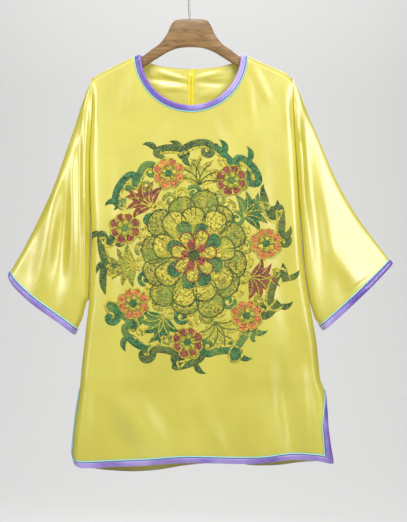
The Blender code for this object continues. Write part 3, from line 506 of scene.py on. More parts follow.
def body(front):
    """Rows and columns over a panel from the shoulders to the hem, without the sleeves.

    Columns lie at fixed lengths in from each side, and the middle ones run from the neck. Rows
    fall from the shoulders' ridge to a level row at the chest and then lie level to the hem.
    """
    name = "front" if front else "back"
    neck_across, neck_drop, chest_middle = neck_line(front, BAND_WIDTH + PIPING_WIDTH)
    depth = through(SIDE_DROPS, BODY["drop"], BODY[name])
    left, right, lifts = body_sides(SIDE_DROPS, name)
    edges = [rolled_edge(EDGE_STEPS, (1 - lift) * depth) for lift in lifts]
    left_across = left[:, None] + edges[0][0]
    right_across = (right[:, None] - edges[1][0])[:, ::-1]
    start, end = left_across[:, -1:], right_across[:, :1]

    top_left, top_right = BODY["left"][0] + EDGE_STEPS, BODY["right_front"][0] - EDGE_STEPS[::-1]
    out = FIRST_FLAT / (BODY["right_front"][0] - EDGE_STEPS[-1] - neck_across[-1])
    flats = finer((0, out, 0.5 + out / 2, 1), COLUMN_PARTS)[1:-1]
    chest_left = start[CHEST_ROW] + flats * (chest_middle[0] - start[CHEST_ROW])
    chest_right = (end[CHEST_ROW] - flats * (end[CHEST_ROW] - chest_middle[-1]))[::-1]
    middle = np.concatenate([chest_left, chest_middle, chest_right])
    centre = seam_across(SIDE_DROPS[:, None])
    to_left = np.clip(middle / start[CHEST_ROW], 0, None) * (start - centre)
    to_right = np.clip(middle / end[CHEST_ROW], 0, None) * (end - centre)
    across = np.hstack([left_across, centre + to_left + to_right, right_across])

    top_flat_left = top_left[-1] + flats * (neck_across[0] - top_left[-1])
    top_flat_right = (top_right[0] - flats * (top_right[0] - neck_across[-1]))[::-1]
    top = np.concatenate([top_left, top_flat_left, neck_across, top_flat_right, top_right])
    top_drop = ridge_drop(top)
    top_drop[[0, -1]] = SIDE_DROPS[0]
    first = len(EDGE_STEPS) + len(flats)
    top_drop[first : first + len(neck_drop)] = neck_drop

    side_left, side_right = across[: CHEST_ROW + 1, 0].copy(), across[: CHEST_ROW + 1, -1].copy()
    down = YOKE_SHARES[:, None] ** 0.6
    yoke = top + down * (across[CHEST_ROW] - top)
    ease = 1 - np.arange(COLUMN_PARTS + 1) / COLUMN_PARTS
    yoke[:, : COLUMN_PARTS + 1] += ease * (side_left - yoke[:, 0])[:, None]
    yoke[:, -COLUMN_PARTS - 1 :] += ease[::-1] * (side_right - yoke[:, -1])[:, None]
    across[: CHEST_ROW + 1] = yoke
    drop = np.repeat(SIDE_DROPS[:, None], across.shape[1], axis=1)
    drop[: CHEST_ROW + 1] = top_drop + YOKE_SHARES[:, None] * (CHEST - top_drop)
    hem = through(across[-1], HEM["across"], HEM[name])
    run = np.clip((SIDE_DROPS - LAST_LEVEL) / (HEM_ROWS[0] - LAST_LEVEL), 0, 1)[:, None]
    drop += run * (hem - HEM_MIDDLE)

    share = np.ones_like(across)
    wide = len(EDGE_STEPS)
    for lift, edge, at, order in zip(lifts, edges, (slice(None, wide), slice(-wide, None)), (1, -1)):
        share[:, at] = (lift[:, None] + (1 - lift[:, None]) * edge[1])[:, ::order]
    away = face_away(across, drop, share, front)
    away[0, [0, -1]] = (-1 if front else 1) * SEAM_GAP / 2
    return np.stack([across, away, drop], axis=-1)


def neck(front, body_points):
    """Rows round the neck from its edge to the piping's far side, where the body's rows begin."""
    rows = []
    for out in finer((0, BAND_WIDTH, BAND_WIDTH + PIPING_WIDTH), COLUMN_PARTS):
        across, drop, _ = neck_line(front, out)
        rows.append(np.stack([across, face_away(across, drop, 1.0, front), drop], axis=-1))
    first = len(EDGE_STEPS) + 3 * COLUMN_PARTS - 1
    rows[-1] = body_points[0, first : first + len(rows[-1])]
    return np.array(rows)


# Each sleeve's folded top edge and its underside below the body's side, down to the cuff. The
# cuff's line bows out, most at a share of the way up from the underside. The front falls from a
# crest to the top edge: where that starts at the shoulder and at the cuff, and the share of depth
# it loses.
SLEEVES = {
    -1: {
        "over": ((-191.5, 54.5), (-196, 64), (-207.5, 94), (-217, 124.5), (-238, 185), (-259.5, 246),
                 (-287, 307), (-317, 366), (-346.5, 417)),
        "under": ((-198.5, 470), (-206, 500), (-220.5, 530.5)),
        "bow": 9.5,
        "bow_at": 0.72,
        "crest": (0.6, 0.65, 0.35),
    },
    1: {
        "over": ((197.5, 54.5), (203.5, 64), (215, 94), (227.5, 124.5), (247, 170), (273, 231),
                 (306, 291.5), (349, 352.5), (383, 396)),
        "under": ((225.8, 470), (235, 500), (251, 522.5)),
        "bow": 2.0,
        "bow_at": 0.6,
        "crest": (0.22, 0.62, 0.72),
    },
}  # fmt: skip
SLEEVE_DEPTH = table("share depth", (0.0, 10.5), (0.15, 12.0), (0.4, 15.0), (0.7, 18.0), (1.0, 20.0))
SLEEVE_OFF_BODY, OFF_BODY_RUN = 0.7, 46.0  # the gap beside the body, and the drop over which it opens
CUFF_SLANT = 1.06  # along the underside for each millimetre across a band
ROLL_AT_MOST = 0.3  # of a row's width
FALL_FROM, FOLDS_FROM = 1 / 4, 1 / 8  # the shares of the way down by which they are in full
FOLDS_FROM_EDGE = 4.0
SLEEVE_TURNS = np.radians(finer((0, 42, 90), COLUMN_PARTS))
SLEEVE_FLAT = np.linspace(0, 1, 4 * COLUMN_PARTS + 1)[1:-1]


def line_through(points, share):
    """The place at a share of the length of a smooth line through the points."""
    knots = np.array(points, float)
    steps = length_along(knots)
    return np.stack([through(share * steps[-1], steps, knots[:, k]) for k in (0, 1)], axis=-1)


def sleeve(front, side, body_points):
    """Rows from the shoulder's end to the cuff, columns from the underside to the folded top.

    Each row is a chord between the two edges. It rises from both by a quarter circle. Above the
    underarm its first point is the body's own edge, so the cloth runs on from one to the other.
    The bow grows with the sixth power of the way down, and the folds fade out at the edges.
    """
    cut = SLEEVES[side]
    edge = body_points[:, 0 if side < 0 else -1]
    beside = edge[edge[:, 2] < cut["under"][0][1] - 0.01][:, [0, 2]].copy()
    beside[:, 0] += side * SLEEVE_OFF_BODY * np.clip((beside[:, 1] - UNDERARM) / OFF_BODY_RUN, 0, 1)
    line = np.vstack([beside, cut["under"]])
    steps = length_along(line)
    length = steps[-1]
    cuff = [1 - wide * CUFF_SLANT / length for wide in (BAND_WIDTH + PIPING_WIDTH, BAND_WIDTH, 0)]
    last_beside = steps[len(beside)] / length
    shares = np.concatenate([
        steps[: len(beside) + 1] / length,
        np.linspace(last_beside, cuff[0], 3 * ROW_PARTS + 1)[1:-1],
        finer(cuff, ROW_PARTS),
    ])  # fmt: skip
    inner = np.stack([np.interp(shares * length, steps, line[:, k]) for k in (0, 1)], axis=-1)
    outer = line_through(np.vstack([edge[0, [0, 2]], cut["over"]]), shares)
    chord = outer - inner
    width = np.maximum(np.hypot(*chord.T), 1e-6)[:, None]
    near = np.minimum(SLEEVE_ROLL, ROLL_AT_MOST * width) * (1 - np.cos(SLEEVE_TURNS)) / width
    middle = near[:, -1:] + SLEEVE_FLAT * (1 - 2 * near[:, -1:])
    place = np.hstack([near, middle, 1 - near[:, ::-1]])
    peak = math.log(0.5) / math.log(cut["bow_at"])
    bow = cut["bow"] * shares[:, None] ** 6 * (1 - np.abs(2 * place**peak - 1) ** 3)
    normal = np.stack([-chord[:, 1], chord[:, 0]], axis=-1) / width
    normal *= np.where(normal[:, 1:] < 0, -1, 1)
    points = inner[:, None] + place[..., None] * chord[:, None] + bow[..., None] * normal[:, None]

    gap = SEAM_GAP / 2
    depth = np.interp(shares, SLEEVE_DEPTH["share"], SLEEVE_DEPTH["depth"]) - gap
    count = int((inner[:, 1] <= UNDERARM + 0.01).sum())
    lift = np.zeros(len(shares))
    lift[:count] = np.clip((np.abs(edge[:count, 1]) - gap) / depth[:count], 0, 1)
    rising = np.ones_like(place)
    turned = len(SLEEVE_TURNS)
    rising[:, :turned] = lift[:, None] + (1 - lift[:, None]) * np.sin(SLEEVE_TURNS)
    rising[:, -turned:] *= np.sin(SLEEVE_TURNS)[::-1]
    if front:
        at_shoulder, at_cuff, loss = cut["crest"]
        crest = at_shoulder + (at_cuff - at_shoulder) * shares[:, None] ** 2
        past = np.clip((place - crest) / (1 - crest), 0, 1)
        rising *= 1 - loss * np.clip(shares[:, None] / FALL_FROM, 0, 1) * past * (1.6 - 0.6 * past)
    from_edge = np.clip(place * width / FOLDS_FROM_EDGE, 0, 1)
    ease = rising**2 * np.clip(shares / FOLDS_FROM, 0, 1)[:, None] * from_edge**2 * (3 - 2 * from_edge)
    away = gap + rising * depth[:, None] + all_relief(points[..., 0], points[..., 1], front) * ease
    away = np.maximum(away, gap) * (-1 if front else 1)
    grid = np.stack([points[..., 0], away, points[..., 1]], axis=-1)
    grid[:count, 0] = edge[:count]
    return grid


def numbered(grids):
    """All the grids' points as one list, coinciding ones made one, and each grid's numbers in it."""
    flat = np.concatenate([grid.reshape(-1, 3) for grid in grids])
    _, first, number = np.unique(np.round(flat, 3), axis=0, return_index=True, return_inverse=True)
    ends = np.cumsum([grid.shape[0] * grid.shape[1] for grid in grids])[:-1]
    pieces = np.split(number.ravel(), ends)
    return flat[first], [piece.reshape(grid.shape[:2]) for piece, grid in zip(pieces, grids)]


def cells(numbers, turned=False):
    """Two triangles for each cell of a grid, without those whose corners coincide."""
    a, b, c, d = numbers[:-1, :-1], numbers[:-1, 1:], numbers[1:, 1:], numbers[1:, :-1]
    faces = np.concatenate([np.stack(corners, axis=-1).reshape(-1, 3) for corners in ((a, d, c), (a, c, b))])
    whole = (faces != np.roll(faces, 1, axis=1)).all(axis=1)
    return faces[whole][:, ::-1] if turned else faces[whole]


def point_normals(points, faces):
    """A unit normal at each point: the sum of the cross products of the faces round it.

    Drop runs down, so the product is taken the other way round.
    """
    corners = points[faces]
    across = np.cross(corners[:, 2] - corners[:, 0], corners[:, 1] - corners[:, 0])
    total = np.zeros_like(points)
    for corner in range(3):
        np.add.at(total, faces[:, corner], across)
    return total / np.maximum(np.linalg.norm(total, axis=1), 1e-9)[:, None]


def lay_in_frame(points):
    """Across, away and drop in millimetres to the frame's metres."""
    return (np.asarray(points) * (1, 1, -1) + (0, 0, -HOOK_TO_NECK)) * MM


def make_piece(name, points, faces, finish, slot, uv=None, sharp=50):
    """An object from points in millimetres and triangles. It rides on the garment."""
    mesh = bpy.data.meshes.new(name)
    mesh.vertices.add(len(points))
    mesh.vertices.foreach_set("co", lay_in_frame(points).astype(np.float32).ravel())
    mesh.loops.add(faces.size)
    mesh.loops.foreach_set("vertex_index", faces.astype(np.int32).ravel())
    mesh.polygons.add(len(faces))
    mesh.polygons.foreach_set("loop_start", np.arange(len(faces), dtype=np.int32) * 3)
    mesh.update(calc_edges=True)
    if uv is not None:
        layer = mesh.uv_layers.new(name="along_and_across")
        layer.uv.foreach_set("vector", uv[faces].astype(np.float32).ravel())
    mesh.validate()
    mesh.materials.append(finish)
    mesh.shade_smooth()
    mesh.set_sharp_from_angle(angle=math.radians(sharp))
    made = bpy.data.objects.new(name, mesh)
    bpy.context.scene.collection.objects.link(made)
    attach(made, "garment")
    return made


def walled(points, faces, normals, thick):
    """The cloth's two faces and its cut edges. No point of the inner face crosses the middle.

    At the middle plane, where front and back meet in a fold, the thickness lies in that plane.
    """
    at_fold = np.abs(points[:, 1]) < SEAM_GAP
    inwards = normals * np.where(at_fold[:, None], (1, 0, 1), 1)
    inwards /= np.maximum(np.linalg.norm(inwards, axis=1), 1e-6)[:, None]
    inner = points - inwards * thick
    side = np.where(points[:, 1] < 0, -1, 1)
    inner[:, 1] = side * np.maximum(side * inner[:, 1], SEAM_GAP / 2)
    count = len(points)
    starts, ends = faces.ravel(), np.roll(faces, -1, axis=1).ravel()
    open_edge = ~np.isin(starts.astype(np.int64) * count + ends, ends.astype(np.int64) * count + starts)
    a, b = starts[open_edge], ends[open_edge]
    rim = np.concatenate([np.stack([b, a, a + count], 1), np.stack([b, a + count, b + count], 1)])
    return np.vstack([points, inner]), np.vstack([faces, faces[:, ::-1] + count, rim])


satin = new_finish("yellow_satin", Roughness=0.42, IOR=1.8, Specular_IOR_Level=1.0, Sheen_Weight=0.2,
                   Sheen_Roughness=0.35, Sheen_Tint=(1.0, 0.97, 0.75, 1))
here = add_node(satin, "ShaderNodeTexCoord").outputs["Object"]
dye = add_ramp(satin, add_noise(satin, here, 9.0, 3.0), 0.3, 0.7, (0.57, 0.50, 0.020), (0.65, 0.59, 0.042))
threads = add_node(satin, "ShaderNodeTexWave", {"Vector": here, "Scale": 420.0, "Distortion": 1.0},
                   bands_direction="DIAGONAL")
weave = add_bump(satin, threads.outputs["Fac"], 0.04, 0.0004)
hand = add_bump(satin, add_noise(satin, here, 42.0, 2.0), 0.10, 0.004, weave)
feed_shader(satin, Base_Color=dye, Normal=hand)

panels = {}
for front in (True, False):
    points = {"body": body(front)}
    points["neck"] = neck(front, points["body"])
    points[-1], points[1] = (sleeve(front, side, points["body"]) for side in (-1, 1))
    panels[front] = points


def sewn(front, parts, turned_parts):
    """The grids of a panel as points, triangles and normals, and each grid as points and normals."""
    points, numbers = numbered([parts[key] for key in parts])
    faces = np.vstack([cells(grid, turned) for grid, turned in zip(numbers, turned_parts)])
    normals = point_normals(points, faces)
    both = np.hstack([points, normals])
    return points, faces, normals, {key: both[grid] for key, grid in zip(parts, numbers)}


def square_metres(points, faces):
    """The area of all the triangles: half the length of each one's cross product."""
    corners = points[faces]
    sides = np.cross(corners[:, 1] - corners[:, 0], corners[:, 2] - corners[:, 0])
    return float(np.linalg.norm(sides, axis=1).sum() / 2 * MM**2)


lines, cut_area = {}, {}
points, faces, normals, lines[True] = sewn(True, panels[True], (False, False, True, False))
cut_area["front"] = square_metres(points, faces)
front_satin = make_piece("front_satin", *walled(points, faces, normals, SATIN_THICK), satin, "satin")
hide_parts("front")

_, _, _, lines[False] = sewn(False, panels[False], (True, True, False, True))
middle_body, middle_neck = panels[False]["body"].shape[1] // 2, panels[False]["neck"].shape[1] // 2
for side, name in ((-1, "left"), (1, "right")):
    half = {}
    for key, middle in (("body", middle_body), ("neck", middle_neck)):
        grid = panels[False][key][:, : middle + 1] if side < 0 else panels[False][key][:, middle:]
        grid = grid.copy()
        seam = grid[:, -1 if side < 0 else 0]
        seam[:, 0] += side * np.where(seam[:, 2] < ZIP_TOP + 2, ZIP_SLOT / 2, SEAM_GAP / 2)
        half[key] = grid
    half["sleeve"] = panels[False][side]
    points, faces, normals, _ = sewn(False, half, (True, True, side > 0))
    cut_area[side] = square_metres(points, faces)
    cloth = walled(points, faces, normals, SATIN_THICK)
    make_piece(f"back_{name}_satin", *cloth, satin, "satin")
    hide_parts(f"back_{name}")

# The bands and pipings. A lilac satin band is folded over every cut edge, and a pale blue piping
# is sewn in under it, its side next to the band painted dark teal as painted shade of the seam
# between them. The band is drawn in a little, so it ripples.
BAND_PROFILE = table(
    "share height",
    (0.03, -1.15), (-0.035, -1.15), (-0.06, -0.3), (-0.05, 0.5), (0.0, 0.95), (0.12, 1.35),
    (0.3, 1.7), (0.5, 1.8), (0.7, 1.65), (0.87, 1.25), (0.97, 0.75), (0.99, 0.3), (0.5, 0.25),
    (0.04, 0.25), (0.0, 0.1), (0.0, -0.3),
)  # fmt: skip
PIPING_TURNS = np.radians(np.arange(0, 360, 30))
PIPING_PROFILE = {
    "share": 0.5 + 0.55 * np.cos(PIPING_TURNS),
    "height": 1.0 + 0.85 * np.sin(PIPING_TURNS),
}
RIPPLE_LENGTH, LONG_PATCH, SHORT_PATCH = 4.6, 31.0, 13.0
RIPPLED_ABOVE = 0.7  # only the profile's upper side ripples
STEP_ALONG = 1.4


def side_by_side(*runs):
    """Two or more lines of points and normals, given new points at even steps along them all."""
    runs = np.array(runs)
    steps = np.linalg.norm(np.diff(runs[:, :, :3], axis=1), axis=-1).max(axis=0)
    length = np.concatenate([[0], np.cumsum(steps)])
    count = int(length[-1] / STEP_ALONG) + 1
    at = np.linspace(0, length[-1], count)
    fine = np.array([[np.interp(at, length, run[:, k]) for k in range(6)] for run in runs])
    return np.moveaxis(fine, 1, 2), at


def tube(points, closed=False):
    """Triangles over rings of points. They face outwards, and the ends are closed unless they meet.

    The volume is the sum, over the triangles, of their corners' triple products. Where it is
    negative the triangles are turned.
    """
    count, around = points.shape[:2]
    numbers = np.arange(count * around).reshape(count, around)
    numbers = np.hstack([numbers, numbers[:, :1]])
    if closed:
        numbers = np.vstack([numbers, numbers[:1]])
    faces = [cells(numbers)]
    if not closed:
        for ring, order in ((numbers[0, :-1], 1), (numbers[-1, :-1], -1)):
            fan = np.stack([np.full(around - 2, ring[0]), ring[1:-1], ring[2:]], axis=-1)
            faces.append(fan[:, ::order])
    faces = np.vstack(faces)
    corners = points.reshape(-1, 3)[faces] * (1, 1, -1)
    volume = (corners[:, 0] * np.cross(corners[:, 1], corners[:, 2])).sum()
    return faces[:, ::-1] if volume < 0 else faces


def carried(near, far, at, profile, ripple, closed):
    """A closed profile carried along two lines, as points, triangles and UV places.

    It has shares of the way from near to far, and heights along the normal. The ripple is a share
    of the height that comes and goes along the run.
    """
    share, height = profile["share"], profile["height"]
    place = near[:, None, :3] + share[:, None] * (far - near)[:, None, :3]
    normal = near[:, None, 3:] + np.clip(share, 0, 1)[:, None] * (far - near)[:, None, 3:]
    normal /= np.linalg.norm(normal, axis=-1, keepdims=True)
    patches = 0.5 + 0.5 * np.sin(at / LONG_PATCH) * np.sin(at / SHORT_PATCH + 1.0)
    swell = 1 + ripple * patches * np.sin(2 * np.pi * at / RIPPLE_LENGTH)
    high = np.where(height > RIPPLED_ABOVE, height * swell[:, None], height)
    points = place + normal * high[..., None]
    around = points.shape[1]
    along, turn = np.broadcast_arrays(at[:, None] / 10, np.arange(around) / around)
    return points.reshape(-1, 3), tube(points, closed), np.stack([along, turn], axis=-1).reshape(-1, 2)


band_satin = new_finish("lilac_satin", Roughness=0.32, Specular_IOR_Level=1.0, Sheen_Weight=0.2,
                        Sheen_Roughness=0.3, Sheen_Tint=(0.9, 0.85, 1.0, 1))
here = add_node(band_satin, "ShaderNodeTexCoord")
# Painted light: large noise patches shift the band from dark violet to pale lavender, painted shade and
# painted highlight of its satin, laid at random along it.
turned = add_node(band_satin, "ShaderNodeMapping", {"Vector": here.outputs["Object"], "Scale": (-1, 1, 1)})
painted_shade_and_highlight = add_noise(band_satin, turned.outputs["Vector"], 8.0, 3.0)
dye = add_ramp(band_satin, painted_shade_and_highlight, 0.42, 0.60, (0.13, 0.065, 0.40), (0.42, 0.33, 0.70))
stretch = add_node(band_satin, "ShaderNodeMapping", {"Vector": here.outputs["UV"], "Scale": (3.4, 0.6, 1)})
gather = add_noise(band_satin, stretch.outputs["Vector"], 2.0, 2.0)
feed_shader(band_satin, Base_Color=dye, Normal=add_bump(band_satin, gather, 0.5, 0.0012))

piping_satin = new_finish("blue_piping", Roughness=0.34, Specular_IOR_Level=0.5, Sheen_Weight=0.15)
here = add_node(piping_satin, "ShaderNodeTexCoord").outputs["UV"]
around = add_node(piping_satin, "ShaderNodeSeparateXYZ", {"Vector": here})
# Painted shade: past its top, towards the band, the tube turns dark teal, standing in for the shade in the
# seam between piping and band.
dye = add_ramp(piping_satin, around.outputs["Y"], 0.24, 0.32, (0.34, 0.74, 0.80), (0.02, 0.12, 0.20))
twist = add_node(piping_satin, "ShaderNodeTexWave", {"Vector": here, "Scale": 3.0, "Distortion": 0.5})
feed_shader(piping_satin, Base_Color=dye, Normal=add_bump(piping_satin, twist.outputs["Fac"], 0.25, 0.0005))


def neck_run(row):
    """A row of the neck from the zip round the front and back to the zip."""
    front_row, back_row = lines[True]["neck"][row], lines[False]["neck"][row]
    middle = len(back_row) // 2
    slot = np.array([ZIP_SLOT / 2, 0, 0, 0, 0, 0])
    left, right = back_row[middle::-1].copy(), back_row[:middle - 1:-1].copy()
    left[0] -= slot
    right[-1] += slot
    return np.vstack([left, front_row, right])


def cuff_run(side, row):
    """A row of a sleeve's front and of its back, as one ring that starts in the upper fold."""
    front_row, back_row = lines[True][side][row].copy(), lines[False][side][row].copy()
    for end in (0, -1):
        fold = (front_row[end] + back_row[end]) / 2
        way = front_row[-1, :3] - front_row[0, :3]
        fold[3:] = way / np.linalg.norm(way) * (1 if end else -1)
        front_row[end] = back_row[end] = fold
    return np.vstack([front_row, back_row[-2::-1]])


def hem_run(front, step):
    """A line down one slit, along the hem and up the other slit, some steps in from the edge.

    Its corners are repeated as often as it is shorter, so that all such lines have as many points.
    """
    grid = lines[front]["body"]
    slit = CHEST_ROW + ROW_PARTS * (1 + LEVELS.index(SLIT_TOP))
    inset, up = step * COLUMN_PARTS, step * ROW_PARTS
    last, wide = len(grid) - 1 - up, grid.shape[1] - 1
    down = grid[slit : last + 1, inset]
    along = grid[last, inset : wide - inset + 1]
    rise = grid[last : slit - 1 : -1, wide - inset]
    corners = [np.repeat(line[-1:], inset + up, axis=0) for line in (down, along)]
    return np.vstack([down, corners[0], along, corners[1], rise])


def trim(name, runs, profiles, closed, cad_nodes):
    """The band and the piping along three lines: the edge, the seam and the piping's far side.

    It gives the two pieces, and then the three lines with the length along them.
    """
    made = []
    (edge, seam, far), at = side_by_side(*runs)
    last = -1 if closed else None
    for (kind, finish, slot, ripple), near, wide, profile, node in zip(
        (("band", band_satin, "lilac", 0.06), ("piping", piping_satin, "teal", 0.0)),
        (edge, seam), (seam, far), profiles, cad_nodes,
    ):
        points, faces, uv = carried(near[:last], wide[:last], at[:last], profile, ripple, closed)
        piece = make_piece(f"{name}_{kind}_satin", points, faces, finish, slot, uv)
        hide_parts(node)
        made.append(piece)
    return made, edge, seam, far, at


PROFILES = (BAND_PROFILE, PIPING_PROFILE)
trims = {"front": [], -1: [], 1: []}  # the pieces sewn to each panel
stitch_lines = []
neck_rows = (0, COLUMN_PARTS, 2 * COLUMN_PARTS)
made, *run = trim("neck", [neck_run(row) for row in neck_rows], PROFILES, False, ("neck_band", "neck_piping"))
trims["front"] += made
stitch_lines.append(run)
for side, name in ((-1, "left"), (1, "right")):
    rows = (-1, -1 - ROW_PARTS, -1 - 2 * ROW_PARTS)
    made, *run = trim(f"cuff_{name}", [cuff_run(side, row) for row in rows], PROFILES, True,
                      (f"cuff_band_{name}", f"cuff_piping_{name}"))
    trims["front"] += made
    stitch_lines.append(run)
for front, name in ((True, "front"), (False, "back")):
    made, *run = trim(f"hem_{name}", [hem_run(front, step) for step in range(3)], PROFILES, False,
                      (f"hem_band_{name}", f"hem_piping_{name}"))
    trims["front" if front else -1] += made
    stitch_lines.append(run)

# The stitches. Machine stitches in lilac thread hold the band down close to its seam.
STITCH_LONG, STITCH_GAP, STITCH_THICK = 2.4, 1.0, 0.45
STITCH_SHARE, STITCH_HEIGHT = 0.87, 1.28


def copies(shape, faces, places, ways, ups):
    """One small shape at many places, with its x laid along the way there and its z upwards."""
    sides = np.cross(ups, ways)
    axes = np.stack([ways, sides, ups], axis=1)
    points = places[:, None] + np.einsum("vk,nkc->nvc", shape, axes)
    numbers = faces[None] + len(shape) * np.arange(len(places))[:, None, None]
    return points.reshape(-1, 3), numbers.reshape(-1, 3)


def spindle(length, thick, sides=6):
    """A closed spindle along x: two tips, and two rings 0.28 of its length from the middle."""
    turn = 2 * np.pi * np.arange(sides) / sides
    ring = np.stack([np.zeros(sides), thick / 2 * np.cos(turn), thick / 2 * np.sin(turn)], axis=-1)
    points = np.vstack([(-length / 2, 0, 0), ring - (0.28 * length, 0, 0), ring + (0.28 * length, 0, 0),
                        (length / 2, 0, 0)])
    first, after = np.arange(sides), (np.arange(sides) + 1) % sides
    a, b = 1 + first, 1 + after
    tip, far_tip = 0 * a, 0 * a + 2 * sides + 1
    corners = ((tip, b, a), (a, b, b + sides), (a, b + sides, a + sides), (far_tip, a + sides, b + sides))
    return points, np.vstack([np.stack(three, axis=1) for three in corners])


def stitched(near, far, share, height):
    """Stitches along a line that lies at a share of the way from near to far."""
    line = near + share * (far - near)
    line[:, 3:] /= np.linalg.norm(line[:, 3:], axis=1)[:, None]
    line[:, :3] += line[:, 3:] * height
    length = np.concatenate([[0], np.cumsum(np.linalg.norm(np.diff(line[:, :3], axis=0), axis=1))])
    count = int(length[-1] / (STITCH_LONG + STITCH_GAP))
    middle = (np.arange(count) + 0.5) * length[-1] / count
    before, after = (
        np.stack([np.interp(middle + step, length, column) for column in line.T], axis=-1)
        for step in (-1, 1)
    )
    way = after[:, :3] - before[:, :3]
    way /= np.maximum(np.linalg.norm(way, axis=1), 1e-9)[:, None]
    both = (before + after) / 2
    return copies(*spindle(STITCH_LONG, STITCH_THICK), both[:, :3], way, both[:, 3:])


def joined(parts):
    """Several meshes' points and faces as one."""
    starts = np.cumsum([0] + [len(points) for points, _ in parts[:-1]])
    return np.vstack([p for p, _ in parts]), np.vstack([f + start for (_, f), start in zip(parts, starts)])


thread = new_finish("lilac_thread", Base_Color=(0.50, 0.38, 0.84, 1), Roughness=0.5, Sheen_Weight=0.2)
points, faces = joined([stitched(near, far, STITCH_SHARE, STITCH_HEIGHT) for near, far, *_ in stitch_lines])
trims["front"].append(make_piece("band_stitches", points, faces, thread, "lilac"))

# The zip. Its tape shows as two bright strips inside the centre back, with a row of small coil
# teeth between them over seam allowances of satin. The slider and its pull are the CAD's own.
TAPE_TOP, TAPE_END, TAPE_HALF, TAPE_THICK = 25.5, 276.0, 5.6, 0.45
ALLOWANCE_HALF, ALLOWANCE_DEPTH = 14.0, 1.15
TAPE_DEPTH, TAPE_BEHIND_SLIDER = 2.2, 3.2
TAPE_DROPS = np.arange(TAPE_TOP, TAPE_END, 2.0)
SLIDER_TOP, SLIDER_BOTTOM = 38.0, 50.0
TEETH_TOP, TEETH_END = SLIDER_BOTTOM + 3, TAPE_END - 4
TOOTH_PITCH, TOOTH_LONG, TOOTH_THICK = 1.25, 2.5, 0.8
TOOTH_ASIDE, TOOTH_DEPTH = 0.9, 2.6
WAVE_RUN = 7.0  # of one radian
ZIP_STITCHES = 7.0  # how far from the slot the line of stitches runs
STITCH_RISE = 0.12  # how far the middle of the thread lies off the cloth
BELOW_NECK_BAND = 12.0  # how far below the tape's top it starts


def outer_face(across, drop, front):
    """A panel's outer face anywhere between its sides, and the way out of it."""
    name, out = ("front", -1) if front else ("back", 1)

    def away(x, z):
        left, right, lifts = body_sides(z, name)
        way = np.clip(np.minimum(x - left, right - x) / EDGE_ROLL, 0, 1)
        lift = np.where(x < 0, *lifts)
        return face_away(x, z, lift + (1 - lift) * np.sqrt(1 - (1 - way) ** 2), front)

    slope_across = away(across + 0.5, drop) - away(across - 0.5, drop)
    slope_down = away(across, drop + 0.5) - away(across, drop - 0.5)
    normals = out * np.stack([-slope_across, np.ones_like(across), -slope_down], axis=-1)
    normals /= np.linalg.norm(normals, axis=-1, keepdims=True)
    return np.stack([across, away(across, drop), drop], axis=-1), normals


def inside_strip(side, inner, outer, depth, thick, wave=0.0):
    """A strip of cloth behind the back's outer face, from inner to outer beside the seam.

    The wave is how far its outer edge lifts and falls along it, as a sine.
    """
    drop = TAPE_DROPS
    share = np.linspace(0, 1, 5)
    across = side * (inner + share * (outer - inner)) + seam_across(drop)[:, None]
    points, normals = outer_face(across, np.broadcast_to(drop[:, None], across.shape), False)
    ripple = wave * share * np.sin(drop[:, None] / WAVE_RUN + side)
    deep = np.broadcast_to(depth, drop.shape)[:, None] + np.abs(ripple)
    points = points - normals * deep[..., None]
    faces = cells(np.arange(points.size // 3).reshape(points.shape[:2]), side > 0)
    if point_normals(points.reshape(-1, 3), faces)[:, 1].mean() < 0:
        faces = faces[:, ::-1]
    return walled(points.reshape(-1, 3), faces, normals.reshape(-1, 3), thick)


tape_depth = np.interp(
    TAPE_DROPS,
    (SLIDER_TOP - 6, SLIDER_TOP - 1, SLIDER_BOTTOM + 1, SLIDER_BOTTOM + 6),
    (TAPE_DEPTH, TAPE_BEHIND_SLIDER, TAPE_BEHIND_SLIDER, TAPE_DEPTH),
)
allowances = joined([inside_strip(side, 1.0, ALLOWANCE_HALF, ALLOWANCE_DEPTH, 0.5, 0.5) for side in (-1, 1)])
trims[-1].append(make_piece("zip_allowances", *allowances, satin, "satin"))
tapes = joined([inside_strip(side, 0.5, TAPE_HALF, tape_depth, TAPE_THICK) for side in (-1, 1)])

tape_weave = new_finish("zip_tape", Roughness=0.6, Sheen_Weight=0.3)
here = add_node(tape_weave, "ShaderNodeTexCoord").outputs["Object"]
ribs_and_hollow_shade = add_node(tape_weave, "ShaderNodeTexWave", {"Vector": here, "Scale": 260.0}, bands_direction="Z")
# Painted shade: the tape's colour follows the wave of its ribs, darker where they dip, as painted shade in
# their hollows.
dye = add_ramp(tape_weave, ribs_and_hollow_shade.outputs["Fac"], 0.0, 1.0, (0.66, 0.52, 0.01), (0.88, 0.76, 0.02))
feed_shader(tape_weave, Base_Color=dye, Normal=add_bump(tape_weave, ribs_and_hollow_shade.outputs["Fac"], 0.4, 0.0003))
zip_tape = make_piece("zip_tape", *tapes, tape_weave, "zip_yellow")

rows = []
for side, late in ((-1, 0.0), (1, 0.5)):
    drop = np.arange(TEETH_TOP, TEETH_END, TOOTH_PITCH) + late * TOOTH_PITCH
    places, out = outer_face(seam_across(drop) + side * TOOTH_ASIDE, drop, False)
    across = np.tile((1.0, 0.0, 0.0), (len(drop), 1))
    rows.append(copies(*spindle(TOOTH_LONG, TOOTH_THICK), places - out * TOOTH_DEPTH, across, out))
nylon = new_finish("zip_nylon", Base_Color=(0.80, 0.62, 0.01, 1), Roughness=0.35)
here = add_node(nylon, "ShaderNodeTexCoord").outputs["Object"]
feed_shader(nylon, Normal=add_bump(nylon, add_noise(nylon, here, 900.0, 2.0), 0.2, 0.0002))
zip_teeth = make_piece("zip_teeth", *joined(rows), nylon, "zip_yellow")
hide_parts("zip_coil")
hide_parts("zip_coil")
trims[1] += [zip_tape, zip_teeth]

